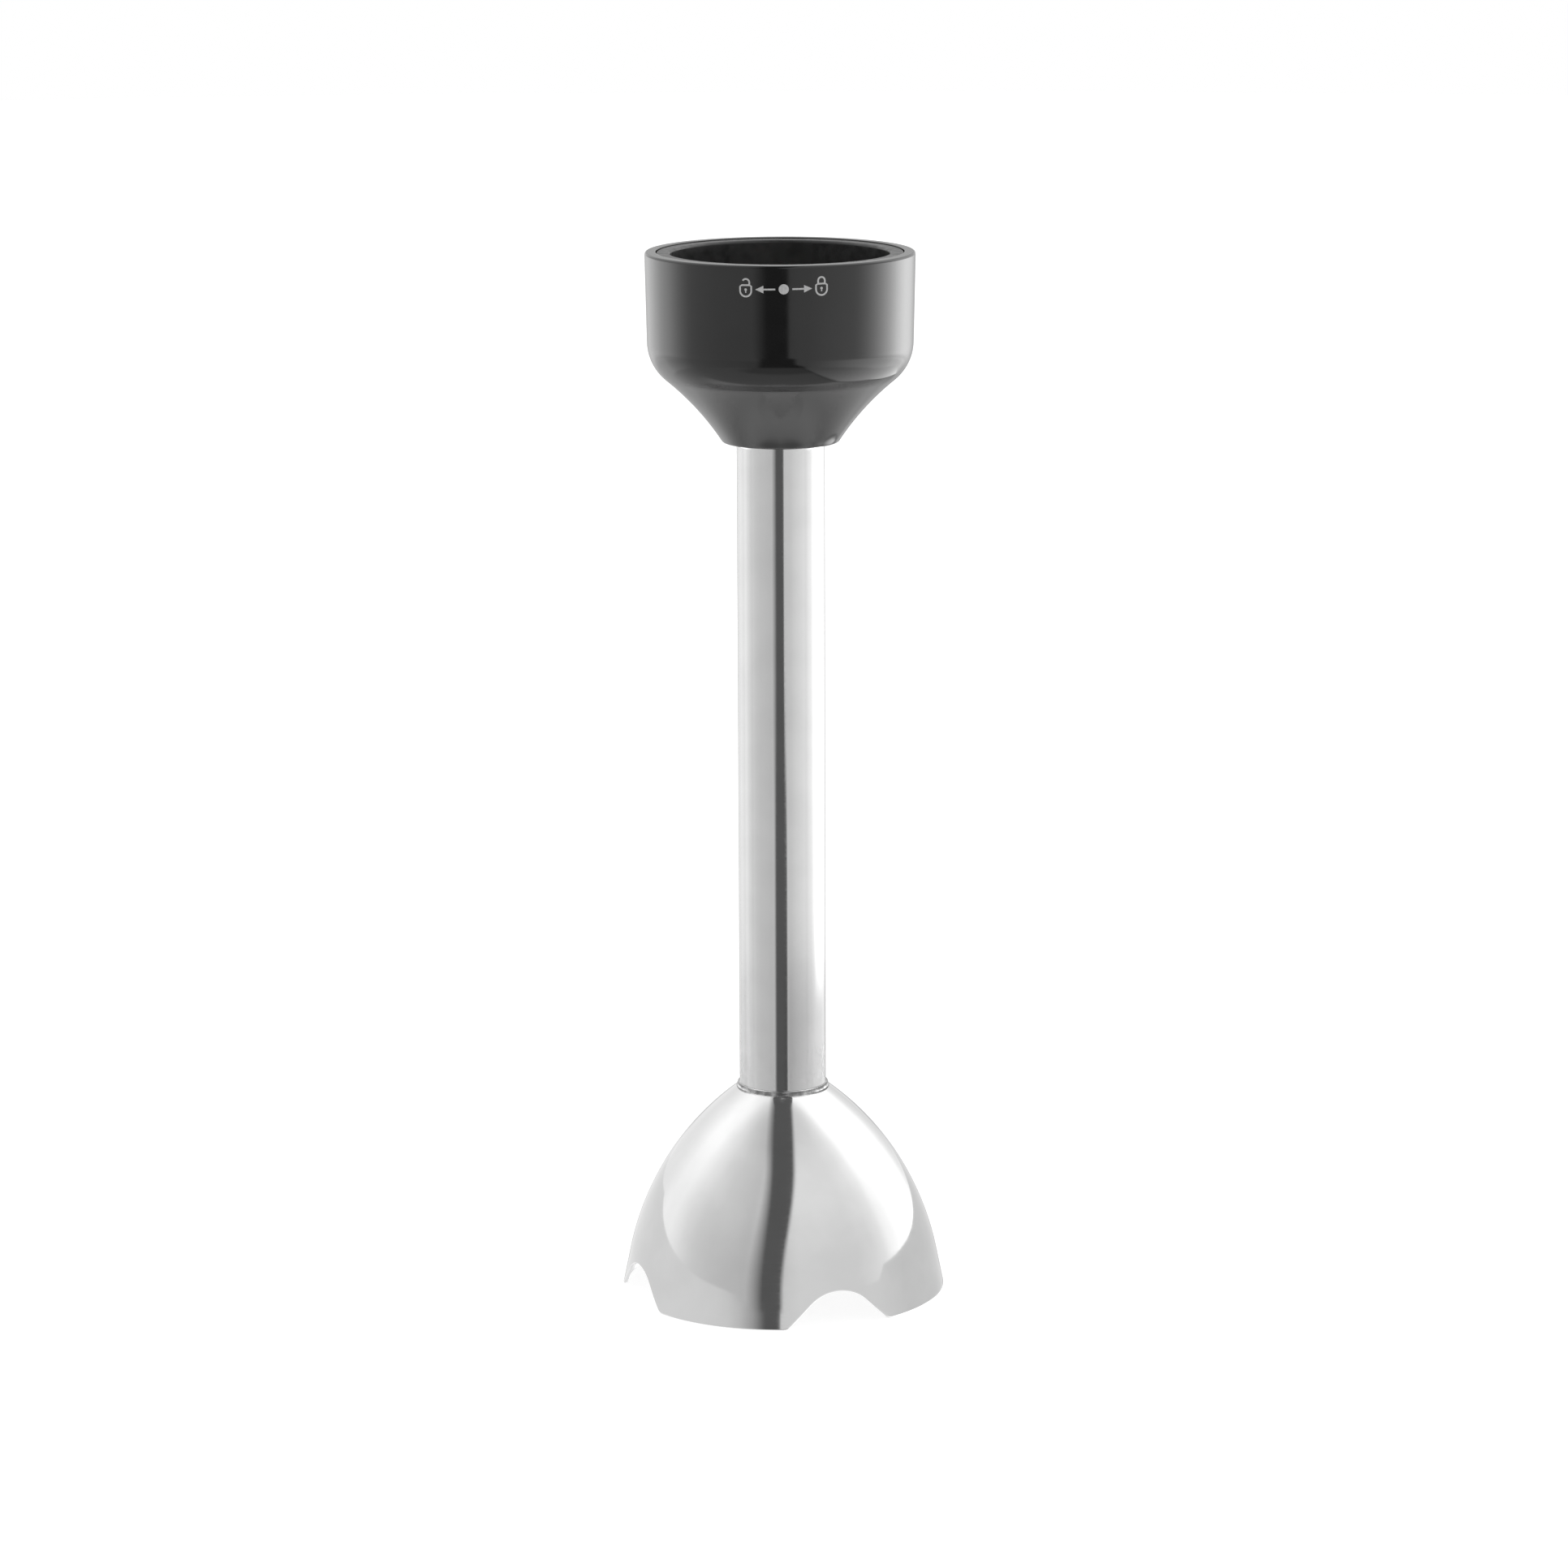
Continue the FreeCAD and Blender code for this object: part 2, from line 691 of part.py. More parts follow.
def grooved_side(radius, height, groove):
    """The corners of one ring groove in an upright side, going up."""
    return [(radius, height - groove_half), (groove, height - groove_half),
            (groove, height + groove_half), (radius, height + groove_half)]


def build_lower_bearing():
    plug = tube_bore - slip * 2
    pocket_top = bush_bottom + lower_bush_length
    lathe("lower_bearing_housing", [
        (seal_radius, nose_bottom),
        (nose_radius, nose_bottom),
        (nose_top_radius, nose_top),
        (plug_flange_radius, plug_flange_bottom),
        (plug_flange_radius, tube_bottom - slip),
        (plug, tube_bottom - slip),
        *grooved_side(plug, plug_ring_height, groove_floor),
        (plug, plug_top),
        (plug_bore, plug_top),
        (plug_bore, pocket_top),
        (pocket_radius, pocket_top),
        (pocket_radius, bush_bottom),
        (seal_radius, bush_bottom),
    ])
    shaft_bore = shaft_radius + running
    washer("lower_bush", bush_bottom, lower_bush_length - slip, shaft_bore, bush_radius)
    torus("housing_o_ring", tube_bore - slip - ring_wire, ring_wire, plug_ring_height)
    washer("seal_retainer", seal_retainer_bottom, seal_retainer_thickness,
           seal_retainer_hole, seal_radius - slip)


def build_lip_seal():
    """A rubber cup with a lip on the shaft and a groove for its garter spring."""
    case = seal_radius - slip
    top = bush_bottom - slip
    bottom = top - seal_height
    web = top - 1.4
    lip = shaft_radius + seal_lip
    lip_back = garter_ring + 0.1
    groove = garter_ring - garter_wire - slip
    groove_top = garter_height + garter_wire + slip
    groove_bottom = garter_height - garter_wire - slip
    lathe("lip_seal", [
        (case - 1.1, bottom),
        (case, bottom),
        (case, top),
        (lip + 0.4, top),
        (lip + 0.4, web),
        (lip, garter_height),
        (lip + 0.3, groove_bottom - 0.4),
        (lip_back, groove_bottom - 0.4),
        (lip_back, groove_bottom),
        (groove, groove_bottom),
        (groove, groove_top),
        (lip_back, groove_top),
        (lip_back, web),
        (case - 1.1, web),
    ])
    torus("garter_spring", garter_ring, garter_wire, garter_height)


def build_mid_guide():
    """A waisted guide with a rubber ring near each end."""
    plug = tube_bore - slip * 2
    top = guide_bottom + guide_height
    ring_low = guide_bottom + guide_land / 2
    ring_high = top - guide_land / 2
    bore = shaft_radius + guide_bore_gap
    lathe("mid_guide", [
        (bore, guide_bottom),
        (plug, guide_bottom),
        *grooved_side(plug, ring_low, groove_floor),
        (plug, guide_bottom + guide_land),
        (guide_waist, guide_bottom + guide_land + 1),
        (guide_waist, top - guide_land - 1),
        (plug, top - guide_land),
        *grooved_side(plug, ring_high, groove_floor),
        (plug, top),
        (bore, top),
    ])
    rings = []
    for name, height in (("low", ring_low), ("high", ring_high)):
        ring = document.addObject("Part::Torus", "guide_ring_" + name)
        bind(ring, "Radius1", tube_bore - slip - ring_wire)
        bind(ring, "Radius2", ring_wire)
        bind(ring, "Placement.Base.z", height)
        rings.append(ring)
    group = keep(document.addObject("Part::Compound", "guide_rings"), "mid_guide_o_rings")
    group.Links = rings


# ---- Rotor ---------------------------------------------------------------------------------

def build_shaft():
    body = lathe("drive_shaft", [
        (0, shaft_end),
        (thread_radius - end_bevel, shaft_end),
        (thread_radius, shaft_end + end_bevel),
        (thread_radius, blade_top),
        (shaft_radius, blade_top),
        (shaft_radius, shaft_top - end_bevel),
        (shaft_radius - end_bevel, shaft_top),
        (0, shaft_top),
    ])
    cut_pin_hole(body)


def cut_pin_hole(body):
    sketch = new_sketch(body, "XZ_Plane")
    draw_circle(sketch, 0, pin_height, pin_radius + slip)
    pocket(body, sketch, coupling_radius * 4, both_ways=True)


def build_coupling():
    """A round dog: skirt over the spring, pinned bore, and a lobed socket on top."""
    bore = shaft_radius + slip
    body = lathe("drive_coupling", [
        (skirt_bore, coupling_bottom),
        (coupling_radius, coupling_bottom),
        (coupling_radius, coupling_top - coupling_bevel),
        (coupling_radius - coupling_bevel, coupling_top),
        (drive_bore, coupling_top),
        (drive_bore, drive_floor),
        (bore, drive_floor),
        (bore, skirt_roof),
        (skirt_bore, skirt_roof),
    ])
    lobe = new_sketch(body, "XY_Plane", coupling_top)
    draw(lobe, [
        (drive_bore / 2, -lobe_half),
        (lobe_reach - lobe_half, -lobe_half, "left", lobe_half),
        (lobe_reach, 0, "left", lobe_half),
        (lobe_reach - lobe_half, lobe_half),
        (drive_bore / 2, lobe_half),
    ])
    repeat_round(body, pocket(body, lobe, coupling_top - drive_floor), lobe_count)
    cut_pin_hole(body)


def build_coupling_pin():
    """A slotted roll pin that lies along Y, through the coupling and the shaft."""
    body = new_body("coupling_pin")
    sketch = new_sketch(body, "XZ_Plane")
    draw_circle(sketch, 0, pin_height, pin_radius)
    draw_circle(sketch, 0, pin_height, pin_radius - pin_wall)
    rolled = pad(body, sketch, pin_length)
    rolled.Midplane = True
    slot = new_sketch(body, "XZ_Plane")
    draw(slot, [
        (-pin_slot / 2, pin_height),
        (pin_slot / 2, pin_height),
        (pin_slot / 2, pin_height + pin_radius * 2),
        (-pin_slot / 2, pin_height + pin_radius * 2),
    ])
    pocket(body, slot, pin_length * 2, both_ways=True)


def build_blade_hub():
    bore = shaft_radius + slip
    washer("lower_thrust_washer", hub_top + face_gap, lower_washer_thickness,
           shaft_radius + slip * 2, lower_washer_radius)
    lathe("blade_hub", [
        (bore, blade_top + slip),
        (hub_radius, blade_top + slip),
        (hub_radius, hub_top - hub_flange_height * 2),
        (hub_flange, hub_top - hub_flange_height),
        (hub_flange, hub_top),
        (bore, hub_top),
    ])


def build_blade():
    """A disc with two bevelled wings, one bent up and one down, trimmed to an S in plan."""
    body = new_body("blade")
    disc = new_sketch(body, "XY_Plane", blade_bottom)
    draw_circle(disc, 0, 0, blade_disc)
    pad(body, disc, blade_thickness)
    add_wing(body, turn=0, bend=-blade_bend.value, start=bend_start)
    add_wing(body, turn=180, bend=blade_bend.value, start=-bend_start)
    trim = new_sketch(body, "XY_Plane", blade_bottom + blade_reach)
    frame = blade_reach * 1.2
    draw(trim, [(-frame, -frame), (frame, -frame), (frame, frame), (-frame, frame)])
    draw(trim, blade_plan())
    pocket(body, trim)
    hole = new_sketch(body, "XY_Plane", blade_bottom + blade_reach)
    draw_circle(hole, 0, 0, thread_radius + slip)
    pocket(body, hole)


def add_wing(body, turn, bend, start):
    """One wing, drawn as its bevelled section and padded outwards from the bend line."""
    spin = Rotation(Vector(0, 1, 0), turn)
    tilt = Rotation(Vector(1, 0, 0), bend)
    sketch = new_sketch(body, "YZ_Plane", start, spin.multiply(tilt))
    bind(sketch, "AttachmentOffset.Base.y", blade_bottom)
    draw(sketch, [
        (-blade_half, 0),
        (blade_half, 0),
        (blade_half, edge_thickness),
        (blade_half - bevel_width, blade_thickness),
        (-blade_half, blade_thickness),
    ])
    pad(body, sketch, (blade_reach - bend_start) / cosine(blade_bend))


def blade_plan():
    """The S outline that the blade is trimmed to: one wing, then the same turned half a turn."""
    waist = root(blade_disc * blade_disc - blade_half * blade_half)
    sweep = blade_reach * 1.2
    wing = [
        (waist, -blade_half),
        (blade_reach - wing_trail, -blade_half + wing_trail, "left", tip_half * 2),
        (blade_reach - wing_trail, tip_half, "left", sweep),
        (waist, blade_half, "left", blade_disc),
    ]
    opposite = [(-corner[0], -corner[1], *corner[2:]) for corner in wing]
    return wing + opposite


def build_blade_nut():
    """A domed hexagon nut on the shaft's threaded end."""
    body = new_body("blade_nut")
    top = blade_bottom - slip
    corner_radius = nut_flat / cosine(as_size(30))
    hexagon = new_sketch(body, "XY_Plane", top - nut_hex_height)
    corners = []
    for step in range(6):
        angle = as_size(60 * step + 30)
        corners.append((corner_radius * cosine(angle), corner_radius * sine(angle)))
    draw(hexagon, corners)
    pad(body, hexagon, nut_hex_height)
    dome_top = top - nut_hex_height
    dome_bottom = dome_top - nut_dome_height
    half_chord = nut_dome_base
    dome = (half_chord * half_chord + nut_dome_height * nut_dome_height) / (nut_dome_height * 2)
    turn_about_z(body, [
        (0, dome_bottom, "left", dome),
        (nut_dome_base, dome_top),
        (nut_dome_base, dome_top + nut_dome_height / 2),
        (0, dome_top + nut_dome_height / 2),
    ])
    thread = new_sketch(body, "XY_Plane", top)
    draw_circle(thread, 0, 0, thread_radius + slip)
    pocket(body, thread, top - shaft_end + face_gap)


# ---- Build, check and write ----------------------------------------------------------------

def check_objects():
    """Stop if any object failed to compute or any sub-part isn't sound."""
    for thing in document.Objects:
        if "Invalid" in thing.State or "Error" in thing.State:
            raise ValueError(f"{thing.Label} failed: {thing.State}")
    for sub_part in sub_parts:
        shape = sub_part.Shape
        if shape.isNull() or not shape.isValid() or not shape.Solids:
            raise ValueError(f"{sub_part.Label} has no sound solid")


def write_steps():
    os.makedirs("parts", exist_ok=True)
    for sub_part in sub_parts:
        sub_part.Shape.exportStep(f"parts/{sub_part.Label}.step")


build_bell_guard()
build_tube()
build_collar_liner(build_collar_cover())
build_collar_screws()
torus("collar_o_ring", tube_radius + collar_ring_wire + slip, collar_ring_wire, collar_ring_height)
build_upper_bearing()
build_float_spring()
build_lower_bearing()
build_lip_seal()
build_mid_guide()
build_shaft()
build_coupling()
build_coupling_pin()
build_blade_hub()
build_blade()
build_blade_nut()
document.recompute()
check_objects()
write_steps()
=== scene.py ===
import json
from math import asin, cos, hypot, pi, radians, sin, sqrt, tan

import bmesh
import bpy
from mathutils import Matrix, Vector


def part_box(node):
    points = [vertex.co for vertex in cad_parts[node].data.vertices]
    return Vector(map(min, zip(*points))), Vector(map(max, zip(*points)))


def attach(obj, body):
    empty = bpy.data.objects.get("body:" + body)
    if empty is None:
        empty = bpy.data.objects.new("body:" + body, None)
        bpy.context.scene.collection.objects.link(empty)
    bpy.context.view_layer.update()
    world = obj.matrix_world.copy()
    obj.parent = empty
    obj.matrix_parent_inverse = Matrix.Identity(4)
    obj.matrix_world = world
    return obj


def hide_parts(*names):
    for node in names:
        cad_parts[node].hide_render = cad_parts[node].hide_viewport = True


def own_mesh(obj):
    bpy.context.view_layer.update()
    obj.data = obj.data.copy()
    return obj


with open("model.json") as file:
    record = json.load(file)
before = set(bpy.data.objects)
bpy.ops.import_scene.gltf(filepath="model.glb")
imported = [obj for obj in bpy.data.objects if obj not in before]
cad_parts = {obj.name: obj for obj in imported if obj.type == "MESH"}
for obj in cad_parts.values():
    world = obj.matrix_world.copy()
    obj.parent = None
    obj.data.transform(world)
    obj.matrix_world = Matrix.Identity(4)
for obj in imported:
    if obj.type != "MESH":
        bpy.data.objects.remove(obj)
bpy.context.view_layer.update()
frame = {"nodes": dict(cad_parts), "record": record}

# The looks of a hand blender's detachable shaft: a black gloss collar, a polished steel tube
# and a polished bell guard round the blade. Outlines are in millimetres (radius, height),
# and every mesh is scaled to metres when it is made.

MM = 0.001
FRONT = -pi / 2          # the azimuth of the side with the lock marks


# ---- Sizes, in millimetres ----

def top_of(node):
    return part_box(node)[1].z / MM


def foot_of(node):
    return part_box(node)[0].z / MM


def reach_of(node):
    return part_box(node)[1].x / MM


BELL_RIM = reach_of("bell_guard")
BELL_SHEET = 0.8
SKIRT_HEIGHT = 7.2
SKIRT_LEAN = radians(11.5)
DOME_RADIUS = 58.2
LIP_RADIUS = 9.3
LIP_TOP = top_of("bell_guard")
NOTCH_HALF = 11.0
NOTCH_DEPTH = 7.1
NOTCH_FLANK = radians(43.5)
NOTCH_CORNER = 1.8
NOTCH_TURN = radians(20.75)
NOTCH_COUNT = 4

TUBE_RADIUS = reach_of("shaft_tube")
TUBE_BORE = TUBE_RADIUS - 0.8
SLEEVE_BORE = TUBE_RADIUS + 0.02      # of what is fitted round the tube
TUBE_FOOT = foot_of("shaft_tube")
TUBE_TOP = top_of("shaft_tube")

RIM_TOP = top_of("collar_cover")
RIM_RADIUS = reach_of("collar_cover")
COVER_WALL = 2.2
NECK_FOOT = (11.84, 175.3)
NECK_LEAN = radians(33.4)
NECK_SWEEP = 55.7
SHOULDER_LEAN = radians(50.6)
SHOULDER_RADIUS = 9.7
SIDE_LEAN = radians(1.13)
FLANGE_FOOT = foot_of("tube_flange")

LINER_TOP = top_of("collar_liner")
LINER_FOOT = foot_of("collar_liner")
LIP_OUTER = reach_of("collar_liner")
MOUTH_RADIUS = 21.8
SOCKET_RADIUS = 22.6
LINER_WALL = 1.5
LINER_FLOOR = LINER_FOOT + 2.5
HUB_HOLE = 9.6

SCREW_CIRCLE = 12.5
SCREW_COUNT = 3
LUG_COUNT = 3
SPRING_SEAT = foot_of("float_spring")
SPRING_TOP = top_of("float_spring")


# ---- Mesh making ----

AXIS_WIDTH = 1e-6        # a point nearer the axis than this is on it
WELD = 1e-5              # points nearer each other than this are one


def bend_points(start, end, radius):
    """Points of the arc from start to end, both left out: it turns left if radius is positive."""
    chord = end - start
    across = Vector((-chord.y, chord.x)).normalized()
    rise = sqrt(max(radius * radius - (chord.length / 2) ** 2, 0.0))
    centre = (start + end) / 2 + across * (rise if radius > 0 else -rise)
    first = start - centre
    turn = 2 * asin(min(1.0, chord.length / 2 / abs(radius)))
    most_turn, most_length = radians(4), 0.6        # of a step along the arc
    count = max(4, round(turn / most_turn), round(turn * abs(radius) / most_length))
    points = []
    for index in range(1, count):
        angle = turn * index / count * (1 if radius > 0 else -1)
        points.append(centre + Matrix.Rotation(angle, 2) @ first)
    return points


def trace(corners, edge=0.15, closed=True):
    """An outline through the corners, each (r, z) or (r, z, radius of the bend after it).
    Sharp corners are rounded by edge, and long straight runs get a point near each end."""
    points = []
    bent = []
    for index, corner in enumerate(corners):
        start = Vector(corner[:2])
        end = Vector(corners[(index + 1) % len(corners)][:2])
        arc = bend_points(start, end, corner[2]) if len(corner) > 2 else []
        points += [start, *arc]
        bent += [bool(arc)] * (1 + len(arc))
    smooth_turn, gentle_turn = radians(12), radians(40)
    long_run = edge * 6
    guard = 1.5             # how far past a corner its extra point lies, in edges
    most_cut = 0.4          # of the run beside a corner
    traced = []
    for index, point in enumerate(points):
        before = points[index - 1] - point
        after = points[(index + 1) % len(points)] - point
        turn = pi - before.angle(after)
        steps = 2 if turn < gentle_turn else 4
        cut = min(edge * tan(turn / 2), before.length * most_cut, after.length * most_cut)
        first = point + before.normalized() * cut
        last = point + after.normalized() * cut
        end = not closed and index in (0, len(points) - 1)
        if end or turn < smooth_turn or point.x < AXIS_WIDTH:
            first = last = point
            steps = 0
        if before.length > long_run and not bent[index - 1] and not end:
            traced.append(first + before.normalized() * edge * guard)
        for step in range(steps + 1):
            share = step / max(steps, 1)
            traced.append(first.lerp(point, share).lerp(point.lerp(last, share), share))
        if after.length > long_run and not bent[index] and not end:
            traced.append(last + after.normalized() * edge * guard)
    return traced


def finish_mesh(shape, name, sharp_from=None):
    """Turn a bmesh in millimetres into a smooth object in metres, with its faces outward and
    sharp edges from an angle on if asked."""
    bmesh.ops.recalc_face_normals(shape, faces=shape.faces)
    mesh = bpy.data.meshes.new(name)
    shape.to_mesh(mesh)
    shape.free()
    mesh.transform(Matrix.Scale(MM, 4))
    mesh.shade_smooth()
    if sharp_from:
        mesh.set_sharp_from_angle(angle=sharp_from)
    piece = bpy.data.objects.new(name, mesh)
    bpy.context.scene.collection.objects.link(piece)
    return piece


def add_loops(shape, loops, close_rows=True):
    """Quads between loops of points: each loop is closed, and so is the stack of loops."""
    rows = [[shape.verts.new(point) for point in loop] for loop in loops]
    pairs = list(zip(rows, rows[1:]))
    if close_rows:
        pairs.append((rows[-1], rows[0]))
    for low, high in pairs:
        for index in range(len(low)):
            following = (index + 1) % len(low)
            shape.faces.new((low[index], low[following], high[following], high[index]))


def add_rod(shape, loops):
    """Quads between loops of points, with a face over the first loop and over the last."""
    first_new, count = len(shape.verts), len(loops[0])
    add_loops(shape, loops, close_rows=False)
    shape.verts.ensure_lookup_table()
    shape.faces.new(shape.verts[first_new:first_new + count])
    shape.faces.new(shape.verts[-count:])


def on_circle(angle, radius, height, centre=(0, 0)):
    return (centre[0] + radius * cos(angle), centre[1] + radius * sin(angle), height)


def revolve(shape, outline, columns, centre=(0, 0)):
    """Turn a closed outline about an upright axis through centre."""
    loops = []
    for column in range(columns):
        angle = 2 * pi * column / columns
        loops.append([on_circle(angle, *point, centre) for point in outline])
    first_new = len(shape.verts)
    add_loops(shape, loops)
    shape.verts.ensure_lookup_table()
    bmesh.ops.remove_doubles(shape, verts=shape.verts[first_new:], dist=WELD)


def settle(piece, body, slot, *nodes):
    """The piece rides on a body, takes its slot's finish and stands for the CAD nodes."""
    piece.data.materials.append(finishes[slot])
    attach(piece, body)
    if nodes:
        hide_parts(*nodes)
    return piece


# ---- Materials ----

def fill(node, **sockets):
    """Give a node's sockets plain values: From_Min is the socket "From Min"."""
    for socket, value in sockets.items():
        node.inputs[socket.replace("_", " ")].default_value = value
    return node


class Nodes:
    """Short ways to add and join one shader's nodes."""

    def __init__(self, tree):
        self.tree = tree

    def add(self, kind, **settings):
        node = self.tree.nodes.new(kind)
        for setting, value in settings.items():
            setattr(node, setting, value)
        return node

    def link(self, output, entry):
        self.tree.links.new(output, entry)

    def compute(self, operation, *values):
        node = self.add("ShaderNodeMath", operation=operation)
        for entry, value in zip(node.inputs, values):
            if isinstance(value, (int, float)):
                entry.default_value = value
            else:
                self.link(value, entry)
        return node.outputs[0]

    def multiply(self, first, *others):
        for value in others:
            first = self.compute("MULTIPLY", first, value)
        return first

    def add_up(self, first, *others):
        for value in others:
            first = self.compute("ADD", first, value)
        return first

    def less(self, first, second):
        return self.compute("SUBTRACT", first, second)

    def split(self, place):
        """The x, y and z of a place or a direction."""
        parts = self.add("ShaderNodeSeparateXYZ")
        self.link(place, parts.inputs[0])
        return parts.outputs

    def turn_from_front(self, place):
        """The angle round the axis, from the front."""
        x, y, _ = self.split(place)
        return self.compute("ARCTAN2", x, self.multiply(y, -1))

    def step(self, value, start, end, low=0.0, high=1.0):
        """A soft step from low, where value is start, to high, where it is end."""
        node = self.add("ShaderNodeMapRange", interpolation_type="SMOOTHSTEP")
        self.link(value, node.inputs["Value"])
        return fill(node, From_Min=start, From_Max=end, To_Min=low, To_Max=high).outputs[0]

    def ramp(self, azimuth, stops):
        """Brightness by azimuth, through stops that give it at azimuths in degrees."""
        most = 4.0
        share = fill(self.add("ShaderNodeMapRange"), From_Min=-pi, From_Max=pi)
        self.link(azimuth, share.inputs["Value"])
        node = self.add("ShaderNodeValToRGB")
        self.link(share.outputs[0], node.inputs["Fac"])
        elements = node.color_ramp.elements
        while len(elements) < len(stops):
            elements.new(0.5)
        for element, (degree, brightness) in zip(elements, stops.items()):
            element.position = (degree + 180) / 360
            element.color = (*grey(brightness / most), 1)
        return self.multiply(node.outputs["Color"], most)


class Finish(Nodes):
    """A procedural material: a Principled shader and the patterns that vary it."""

    def __init__(self, name, colour, roughness, metallic=0.0, **sockets):
        self.material = bpy.data.materials.new(name)
        self.material.use_nodes = True
        super().__init__(self.material.node_tree)
        self.shader = self.tree.nodes["Principled BSDF"]
        self.place = self.add("ShaderNodeTexCoord").outputs["Object"]
        self.last_bump = None
        self.material.diffuse_color = (*colour, 1)
        fill(self.shader, Base_Color=(*colour, 1), Roughness=roughness, Metallic=metallic, **sockets)

    def round_axis(self, around, along, across):
        """A place given as (angle, height, radius), scaled: lines run round the axis when
        along is the largest, and down the surface when around is."""
        x, y, z = self.split(self.place)
        radius = self.compute("SQRT", self.add_up(self.multiply(x, x), self.multiply(y, y)))
        joined = self.add("ShaderNodeCombineXYZ")
        scaled = (self.multiply(self.compute("ARCTAN2", y, x), around),
                  self.multiply(z, along / MM), self.multiply(radius, across / MM))
        for value, entry in zip(scaled, joined.inputs):
            self.link(value, entry)
        return joined.outputs[0]

    def noise(self, size=1.0, detail=2.0, place=None, roughness=0.5):
        """Noise with features of about size millimetres, or of size 1 on a scaled place."""
        scale = 1 / size if place else 1 / (size * MM)
        node = fill(self.add("ShaderNodeTexNoise"), Scale=scale, Detail=detail,
                    Roughness=roughness)
        self.link(place or self.place, node.inputs["Vector"])
        return node.outputs["Fac"]

    def cells(self, size):
        """A pattern of random cells, for pores and grains."""
        node = fill(self.add("ShaderNodeTexVoronoi"), Scale=1 / (size * MM))
        self.link(self.place, node.inputs["Vector"])
        return node.outputs["Distance"]

    def between(self, pattern, low, high):
        """A pattern's middle values, spread from low to high."""
        return self.step(pattern, 0.3, 0.7, low, high)

    def colours(self, pattern, dark, light):
        node = self.add("ShaderNodeMix", data_type="RGBA")
        self.link(self.between(pattern, 0, 1), node.inputs["Factor"])
        node.inputs[6].default_value = (*dark, 1)
        node.inputs[7].default_value = (*light, 1)
        self.link(node.outputs[2], self.shader.inputs["Base Color"])

    def rough(self, pattern, low, high):
        self.link(self.between(pattern, low, high), self.shader.inputs["Roughness"])

    def bump(self, pattern, height):
        """Relief of about height millimetres, on top of any earlier relief."""
        node = fill(self.add("ShaderNodeBump"), Strength=1.0, Distance=height * MM)
        self.link(pattern, node.inputs["Height"])
        if self.last_bump:
            self.link(self.last_bump, node.inputs["Normal"])
        self.last_bump = node.outputs[0]
        self.link(self.last_bump, self.shader.inputs["Normal"])

    def glow(self, strength):
        """A surface that only gives off light."""
        node = self.add("ShaderNodeEmission")
        self.link(strength, node.inputs["Strength"])
        return node.outputs[0]

    def limit_reach(self, surface, reach, compare="GREATER_THAN"):
        """The surface is clear for rays longer than reach millimetres, or shorter if asked."""
        length = self.add("ShaderNodeLightPath").outputs["Ray Length"]
        mixed = self.add("ShaderNodeMixShader")
        self.link(self.compute(compare, length, reach * MM), mixed.inputs[0])
        self.link(surface, mixed.inputs[1])
        self.link(self.add("ShaderNodeBsdfTransparent").outputs[0], mixed.inputs[2])
        self.link(mixed.outputs[0], self.tree.nodes["Material Output"].inputs["Surface"])


def grey(value):
    return (value, value, value)


def polished_steel():
    """Buffed stainless sheet: a near mirror with faint buffing lines and haze, darker round the
    soldered seam where the bell's lip meets the tube, which is painted shade in that crease, and
    rougher there."""
    finish = Finish("polished_steel", grey(0.62), 0.07, metallic=1.0)
    haze = finish.noise(9, detail=3)
    lines = finish.noise(1, detail=4, place=finish.round_axis(6, 3.0, 3.0))
    height = finish.compute("DIVIDE", finish.split(finish.place)[2], MM)
    # Painted shade: a band round the seam where the base colour is darker and the roughness higher.
    seam_low, seam_high, seam_fade = LIP_TOP - 1.15, LIP_TOP - 0.05, 0.2
    seam_shade = finish.multiply(finish.step(height, seam_low, seam_low + seam_fade),
                           finish.step(height, seam_high, seam_high - seam_fade),
                           finish.between(finish.noise(1.6, detail=2), 0.35, 1))
    buffed = finish.between(haze, 0.605, 0.635)
    # The base colour is darkened in the seam band: painted shade.
    shade = finish.less(buffed, finish.multiply(seam_shade, 0.42))
    finish.link(shade, finish.shader.inputs["Base Color"])
    rough = finish.add_up(finish.between(lines, 0.055, 0.095), finish.multiply(seam_shade, 0.3))
    finish.link(rough, finish.shader.inputs["Roughness"])
    finish.bump(lines, 0.00025)
    finish.bump(finish.noise(14, detail=1), 0.01)
    return finish


def black_gloss():
    """Glossy black housing plastic: faint flow waves and a fine orange peel."""
    finish = Finish("black_gloss", grey(0.004), 0.1, IOR=1.52)
    finish.colours(finish.noise(12, detail=3), grey(0.003), grey(0.005))
    finish.rough(finish.noise(4, detail=4), 0.08, 0.13)
    finish.bump(finish.noise(2.2, detail=2), 0.0006)
    return finish


def black_socket():
    """The liner's black plastic, with a fine moulded texture."""
    finish = Finish("black_socket", grey(0.011), 0.36, IOR=1.5)
    finish.colours(finish.noise(3, detail=4), grey(0.009), grey(0.014))
    finish.rough(finish.noise(1.5, detail=3), 0.3, 0.44)
    finish.bump(finish.noise(0.35, detail=3), 0.012)
    return finish


def print_grey():
    """Pad-printed grey ink, a little uneven."""
    finish = Finish("print_grey", grey(0.36), 0.45)
    finish.colours(finish.noise(0.35, detail=3), grey(0.33), grey(0.42))
    finish.bump(finish.noise(0.12, detail=2), 0.004)
    return finish


def plain_steel():
    """Turned steel: fine tool lines round the axis."""
    finish = Finish("plain_steel", grey(0.52), 0.26, metallic=1.0)
    lines = finish.noise(1, detail=3, place=finish.round_axis(0.5, 9.0, 9.0))
    finish.colours(finish.noise(2.5, detail=3), grey(0.47), grey(0.56))
    finish.rough(lines, 0.2, 0.34)
    finish.bump(lines, 0.003)
    return finish


